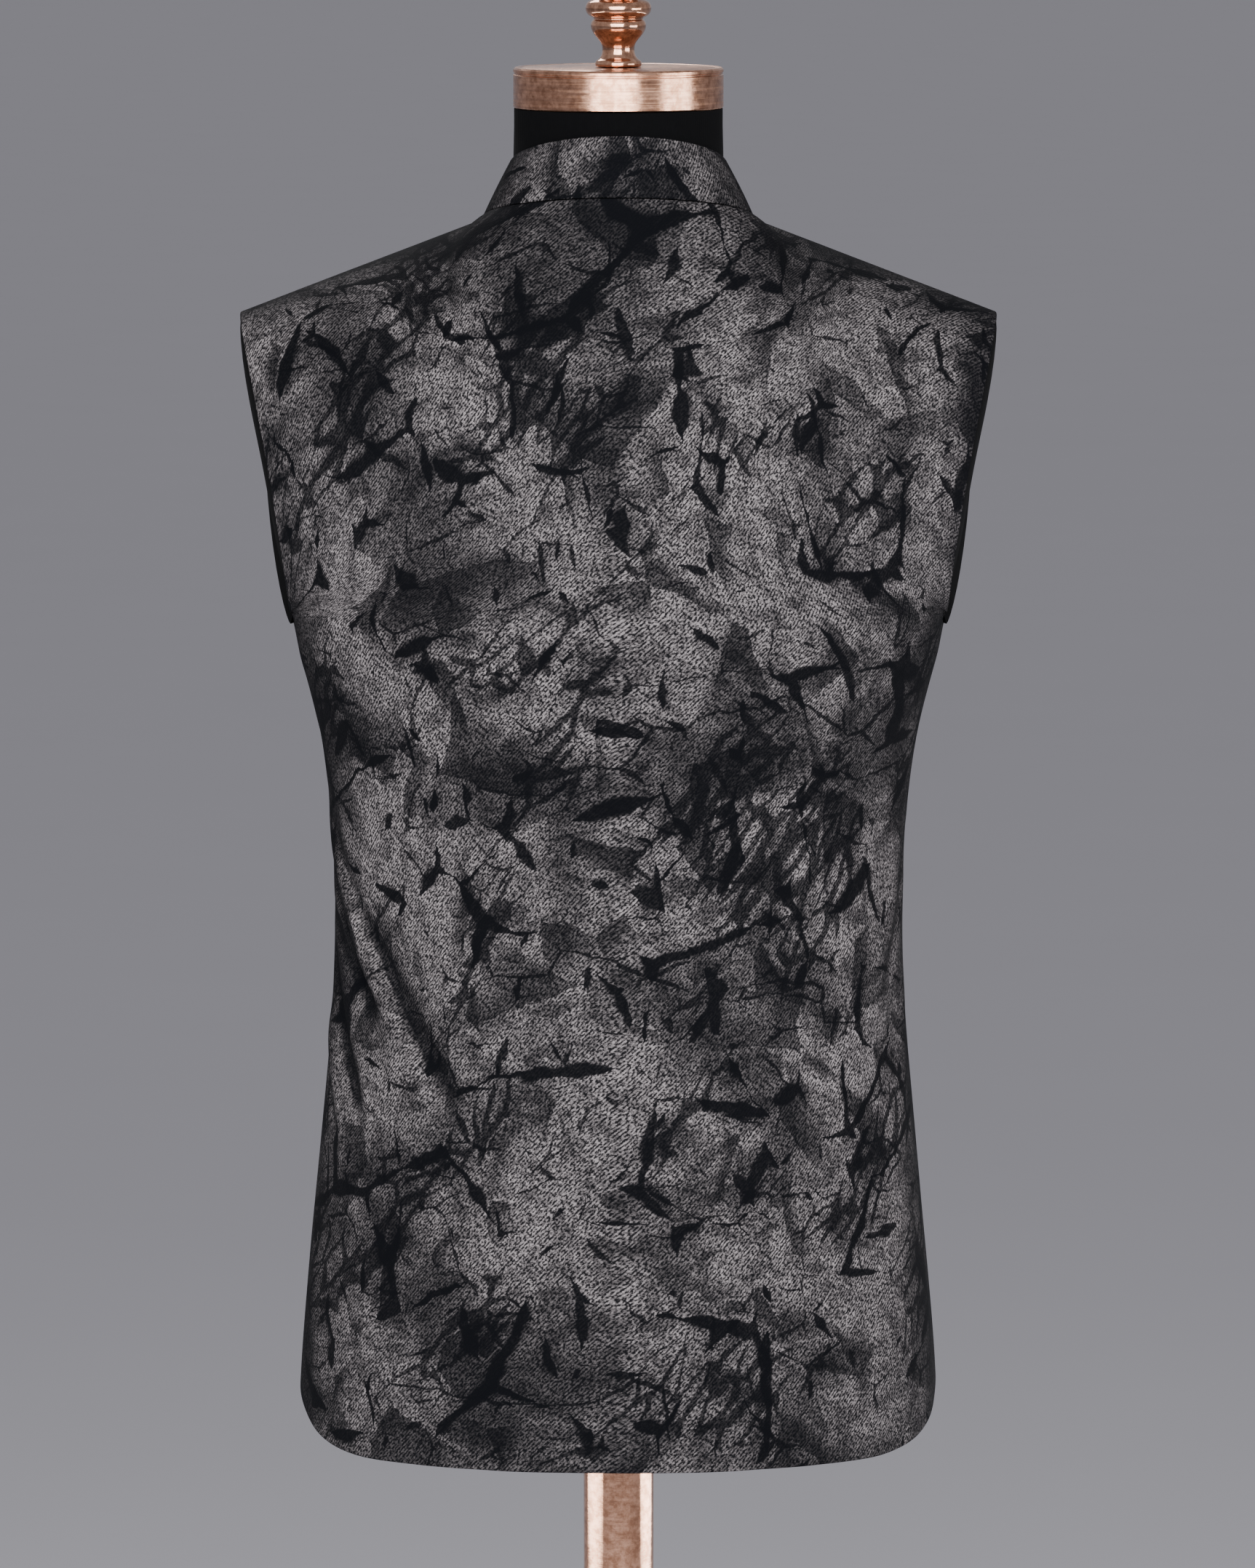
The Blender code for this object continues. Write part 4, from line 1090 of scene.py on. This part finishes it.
def black_jersey():
    """Cotton jersey stretched over the form, dyed black: fine upright ribs, and so matt that it hardly shades."""
    form = bpy.context.scene.dress_form
    material, tree, shader = new_material("dyed_cotton_jersey")
    place_on = add(tree, "ShaderNodeTexCoord")["Object"]
    # Ribs 1.2 mm apart
    rib = add(
        tree, "ShaderNodeTexWave",
        {"Vector": place_on, "Scale": WAVE / 0.0012, "Distortion": 1.0, "Detail": 1.0, "Detail Scale": 4.0},
        wave_type="BANDS", bands_direction="X",
    )["Fac"]
    lint = add(
        tree, "ShaderNodeTexNoise", {"Vector": place_on, "Scale": 1 / 0.004, "Detail": 4.0, "Roughness": 0.7}
    )["Fac"]
    light = tuple(min(c * 1.8 + 0.0006, 1.0) for c in form.jersey)
    colour = add(tree, "ShaderNodeMix", {0: lint, 6: (*form.jersey, 1.0), 7: (*light, 1.0)}, data_type="RGBA")[2]
    bump = add(tree, "ShaderNodeBump", {"Height": rib, "Strength": 0.4, "Distance": 0.0002})["Normal"]
    wire(tree, shader, {"Base Color": colour, "Normal": bump, "Roughness": 0.94, "Specular IOR Level": 0.08})
    return material


def copper(name, streak, roughness_low, roughness_high):
    """Copper, turned on a lathe. The streak is how much longer its tool marks are than they are wide.

    It mirrors the lights as broad warm bands, broken by fine marks round the axis.
    """
    form = bpy.context.scene.dress_form
    material, tree, shader = new_material(name)
    place_on = add(tree, "ShaderNodeTexCoord")["Object"]
    drawn_out = add(
        tree, "ShaderNodeMapping", {"Vector": place_on, "Scale": (1.0 / streak, 1.0 / streak, 1.0)}
    )[0]
    marks = add(
        tree, "ShaderNodeTexNoise", {"Vector": drawn_out, "Scale": 1 / 0.0012, "Detail": 3.0, "Roughness": 0.6}
    )["Fac"]
    tarnish = add(
        tree, "ShaderNodeTexNoise", {"Vector": place_on, "Scale": 1 / 0.005, "Detail": 4.0, "Roughness": 0.7}
    )["Fac"]
    rough = add(tree, "ShaderNodeMapRange", (marks, 0.3, 0.7, roughness_low, roughness_high))[0]
    speckled = add(tree, "ShaderNodeMapRange", (tarnish, 0.38, 0.62))[0]
    deep = tuple(c * shade for c, shade in zip(form.copper, (0.56, 0.50, 0.46)))
    colour = add(tree, "ShaderNodeMix", {0: speckled, 6: (*deep, 1.0), 7: (*form.copper, 1.0)}, data_type="RGBA")[2]
    bump = add(tree, "ShaderNodeBump", {"Height": marks, "Strength": 0.25, "Distance": 0.00008})["Normal"]
    wire(tree, shader, {"Base Color": colour, "Roughness": rough, "Normal": bump, "Metallic": 1.0})
    return material


def black_button():
    """Cast polyester button, tumbled to a satin: black with a soft broad highlight and faint fine marks."""
    material, tree, shader = new_material("cast_polyester")
    place_on = add(tree, "ShaderNodeTexCoord")["Object"]
    marks = add(
        tree, "ShaderNodeTexNoise", {"Vector": place_on, "Scale": 1 / 0.0015, "Detail": 4.0, "Roughness": 0.6}
    )["Fac"]
    rough = add(tree, "ShaderNodeMapRange", {"Value": marks, "To Min": 0.24, "To Max": 0.42})[0]
    colour = add(
        tree, "ShaderNodeMix", {0: marks, 6: (*linear("0E0E11"), 1.0), 7: (*linear("1B1B20"), 1.0)}, data_type="RGBA"
    )[2]
    wire(tree, shader, {"Base Color": colour, "Roughness": rough, "IOR": 1.54})
    return material


def black_thread():
    """Polyester sewing thread, two plies twisted: dark, with fine slanting stripes."""
    material, tree, shader = new_material("twisted_polyester_thread")
    place_on = add(tree, "ShaderNodeTexCoord")["Object"]
    ply = add(
        tree, "ShaderNodeTexWave", {"Vector": place_on, "Scale": WAVE / 0.0005, "Distortion": 0.3},
        wave_type="BANDS", bands_direction="DIAGONAL",
    )["Fac"]
    colour = add(
        tree, "ShaderNodeMix", {0: ply, 6: (*linear("101013"), 1.0), 7: (*linear("2C2C31"), 1.0)}, data_type="RGBA"
    )[2]
    wire(tree, shader, {"Base Color": colour, "Roughness": 0.7})
    return material


def studio_floor():
    """A pale painted floor, plain but for a trace of the roller."""
    studio = bpy.context.scene.studio
    material, tree, shader = new_material("studio_floor")
    place_on = add(tree, "ShaderNodeTexCoord")["Object"]
    roller = add(
        tree, "ShaderNodeTexNoise", {"Vector": place_on, "Scale": 1 / 0.3, "Detail": 3.0, "Roughness": 0.5}
    )["Fac"]
    darker = tuple(c * 0.97 for c in studio.floor)
    colour = add(tree, "ShaderNodeMix", {0: roller, 6: (*darker, 1.0), 7: (*studio.floor, 1.0)}, data_type="RGBA")[2]
    wire(tree, shader, {"Base Color": colour, "Roughness": 0.9})
    return material


class JacketCloth(bpy.types.PropertyGroup):
    """Sizes and colours of the jacket's cloth."""

    wall: FloatProperty(
        name="Wall", description="Thickness of the cloth with its lining", default=WALL * MM, unit="LENGTH"
    )
    relief: FloatProperty(
        name="Relief", description="How strong the folds and swells are", default=1.0, subtype="FACTOR"
    )
    twill_spacing: FloatProperty(
        name="Twill spacing", description="From one twill line to the next", default=0.0016, unit="LENGTH"
    )
    dark_yarn: FloatVectorProperty(
        name="Dark yarn", description="Colour of the ground yarn", default=linear("08090D"), subtype="COLOR"
    )
    pale_yarn: FloatVectorProperty(
        name="Pale yarn", description="Colour of the yarn on top", default=linear("8E8889"), subtype="COLOR"
    )


class DressForm(bpy.types.PropertyGroup):
    """Colours of the form and its stand."""

    jersey: FloatVectorProperty(
        name="Jersey", description="Colour of the torso's cover", default=linear("040405"), subtype="COLOR"
    )
    copper: FloatVectorProperty(
        name="Copper", description="Colour of the turned metal", default=linear("E6B294"), subtype="COLOR"
    )


class Studio(bpy.types.PropertyGroup):
    """The camera, the light and the floor."""

    distance: FloatProperty(
        name="Distance", description="From the camera to the jacket's middle", default=4.0, unit="LENGTH"
    )
    height: FloatProperty(name="Height", description="Of the camera above the floor", default=1.6902, unit="LENGTH")
    pitch: FloatProperty(
        name="Pitch", description="How far the camera looks down", default=math.radians(8.28), subtype="ANGLE"
    )
    lens: FloatProperty(name="Lens", description="Focal length", default=160.55, unit="CAMERA")
    floor: FloatVectorProperty(
        name="Floor", description="Colour of the floor", default=linear("C4C3C8"), subtype="COLOR"
    )
    key: FloatProperty(name="Key light", description="Power of the main soft box", default=125.0, unit="POWER")


class JACKET_OT_back(bpy.types.Operator):
    """Build the back panel"""

    bl_idname = "jacket.back"
    bl_label = "Back"

    def execute(self, context):
        made = panel("back_panel", BACK, mirrored(HALF_SHARES))
        place(made, "charcoal_twill", "jacket_back")
        return {"FINISHED"}


class JACKET_OT_fronts(bpy.types.Operator):
    """Build the two fronts, the left one over the right one"""

    bl_idname = "jacket.fronts"
    bl_label = "Fronts"

    def execute(self, context):
        steps = [*EDGE_STEPS[:-1], *np.linspace(EDGE_STEPS[-1], OVERLAP, 6)[:-1]]
        lap = [Column((step - OVERLAP) / HALF_ARC, step - OVERLAP) for step in steps]
        columns = lap + [Column(share) for share in HALF_SHARES]
        both = (("left_front", 1.0, "jacket_front_left"), ("right_front", -1.0, "jacket_front_right"))
        for name, side, node in both:
            made = panel(name, FRONT, columns, side, edge=-OVERLAP, under=side < 0)
            place(made, "charcoal_twill", node)
        return {"FINISHED"}


class JACKET_OT_collar(bpy.types.Operator):
    """Build the stand collar"""

    bl_idname = "jacket.collar"
    bl_label = "Stand collar"

    def execute(self, context):
        made = make_collar()
        place(made, "charcoal_twill", "jacket_collar")
        return {"FINISHED"}


class JACKET_OT_buttons(bpy.types.Operator):
    """Build the six front buttons"""

    bl_idname = "jacket.buttons"
    bl_label = "Buttons"

    def execute(self, context):
        pattern = sewn_button()
        for number, height in enumerate(BUTTON_HEIGHTS, 1):
            spot, facing = front_face(height)
            spot = spot + facing * BUTTON_LIFT + np.array([0.0, 0.0, NAPE_HEIGHT])
            turn = Vector(facing).to_track_quat("Z", "Y").to_matrix().to_4x4()
            mesh = pattern.data.copy()
            mesh.transform(Matrix.Translation(Vector(spot) * MM) @ turn)
            made = bpy.data.objects.new(f"button_{number}", mesh)
            context.scene.collection.objects.link(made)
            place(made, "black_button", f"front_button_{number}")
        bpy.data.objects.remove(pattern)
        return {"FINISHED"}


class JACKET_OT_form(bpy.types.Operator):
    """Build the jersey-covered torso"""

    bl_idname = "jacket.form"
    bl_label = "Torso"

    def execute(self, context):
        place(make_torso(), "black_jersey", "form_torso")
        return {"FINISHED"}


class JACKET_OT_stand(bpy.types.Operator):
    """Build the turned copper pieces: cap, finial, pole and base"""

    bl_idname = "jacket.stand"
    bl_label = "Stand"

    def execute(self, context):
        brushed = copper("brushed_copper", 60.0, 0.12, 0.34)
        polished = copper("buffed_copper", 8.0, 0.08, 0.16)
        shift = Matrix.Translation((0.0, COLLAR_CENTRE * MM, 0.0))
        cap_base = NAPE_HEIGHT + NECK_TOP + FIT
        cap = turned("neck_cap", CAP_PROFILE, 128, brushed, cap_base, shift)
        place(cap, "polished_copper", "form_neck_cap")
        finial = turned("finial", FINIAL_PROFILE, 64, polished, cap_base + CAP_HEIGHT + 0.1, shift)
        apply(finial, "SUBSURF", levels=2, render_levels=2)
        place(finial, "polished_copper", "form_finial")
        low = SOCKET_FLOOR + FIT
        top = NAPE_HEIGHT + FORM_BOTTOM - FORM_BOTTOM_ROUND - FIT
        rod = ((0.0, low), (POLE_RADIUS, low), (POLE_RADIUS, top), (0.0, top))
        place(turned("pole", rod, 96, polished), "polished_copper", "form_pole")
        place(turned("base", BASE_PROFILE, 160, polished), "polished_copper", "form_base")
        return {"FINISHED"}


class JACKET_OT_studio(bpy.types.Operator):
    """Set up the floor, the soft light and the camera"""

    bl_idname = "jacket.studio"
    bl_label = "Studio"

    def execute(self, context):
        studio = context.scene.studio
        bm = bmesh.new()
        bmesh.ops.create_circle(bm, cap_ends=True, segments=96, radius=120.0)
        link("floor", to_mesh(bm, "floor"), studio_floor())
        # Where each soft box stands, what it points at, its width and height, its share of the key's power and how
        # far its light spreads. The last two are low strips with a grid, which give the pole its bright sides.
        boxes = (
            ((0.20, 2.5, 2.05), (0.0, 0.0, 1.20), 2.5, 1.7, 1.0, 180.0),
            ((-2.40, 1.00, 1.42), (0.0, 0.0, 1.35), 1.7, 0.8, 0.20, 180.0),
            ((0.4, -1.6, 2.7), (0.0, 0.0, 1.10), 0.9, 0.9, 0.13, 180.0),
            ((1.88, 0.07, 0.27), (0.0, 0.0, 0.40), 2.6, 0.3, 0.07, 120.0),
            ((-1.81, -0.55, 0.27), (0.0, 0.0, 0.40), 2.2, 0.3, 0.07, 120.0),
        )
        for number, (spot, aim, width, height, share, spread) in enumerate(boxes, 1):
            data = bpy.data.lights.new(f"soft_box_{number}", "AREA")
            data.shape = "RECTANGLE"
            data.size = width
            data.size_y = height
            data.energy = studio.key * share
            data.spread = math.radians(spread)
            lamp = bpy.data.objects.new(data.name, data)
            facing = (Vector(aim) - Vector(spot)).to_track_quat("-Z", "Y")
            lamp.matrix_world = Matrix.Translation(spot) @ facing.to_matrix().to_4x4()
            lamp.visible_camera = False
            context.scene.collection.objects.link(lamp)
        world = bpy.data.worlds.new("studio_air")
        world.use_nodes = True
        sky = world.node_tree.nodes["Background"]
        wire(world.node_tree, sky, {"Color": (*linear("D9D8DE"), 1.0), "Strength": 0.56})
        context.scene.world = world
        data = bpy.data.cameras.new("camera")
        data.lens = studio.lens
        data.sensor_width = 36.0
        camera = bpy.data.objects.new("camera", data)
        camera.location = (-0.0052, studio.distance, studio.height)
        camera.rotation_euler = (math.pi / 2 - studio.pitch, 0.0, math.pi)
        context.scene.collection.objects.link(camera)
        context.scene.camera = camera
        return {"FINISHED"}


class JACKET_PT_build(bpy.types.Panel):
    """The jacket's sizes, colours and pieces"""

    bl_idname = "JACKET_PT_build"
    bl_label = "Jacket on a dress form"
    bl_space_type = "VIEW_3D"
    bl_region_type = "UI"
    bl_category = "Jacket"

    def draw(self, context):
        for name in GROUPS:
            owner = getattr(context.scene, name)
            for key in owner.bl_rna.properties.keys():
                if key not in {"rna_type", "name"}:
                    self.layout.prop(owner, key)
        for operator in OPERATORS:
            self.layout.operator(operator.bl_idname)


GROUPS = {"jacket_cloth": JacketCloth, "dress_form": DressForm, "studio": Studio}
OPERATORS = (
    JACKET_OT_form,
    JACKET_OT_back,
    JACKET_OT_fronts,
    JACKET_OT_collar,
    JACKET_OT_buttons,
    JACKET_OT_stand,
    JACKET_OT_studio,
)


def register():
    for made in (*GROUPS.values(), *OPERATORS, JACKET_PT_build):
        bpy.utils.register_class(made)
    for name, group in GROUPS.items():
        setattr(bpy.types.Scene, name, PointerProperty(type=group))


def unregister():
    for name in GROUPS:
        delattr(bpy.types.Scene, name)
    for made in (JACKET_PT_build, *reversed(OPERATORS), *GROUPS.values()):
        bpy.utils.unregister_class(made)


def main():
    register()
    bpy.ops.jacket.form()
    bpy.ops.jacket.back()
    bpy.ops.jacket.fronts()
    bpy.ops.jacket.collar()
    bpy.ops.jacket.buttons()
    bpy.ops.jacket.stand()
    bpy.ops.jacket.studio()


if __name__ == "__main__":
    main()
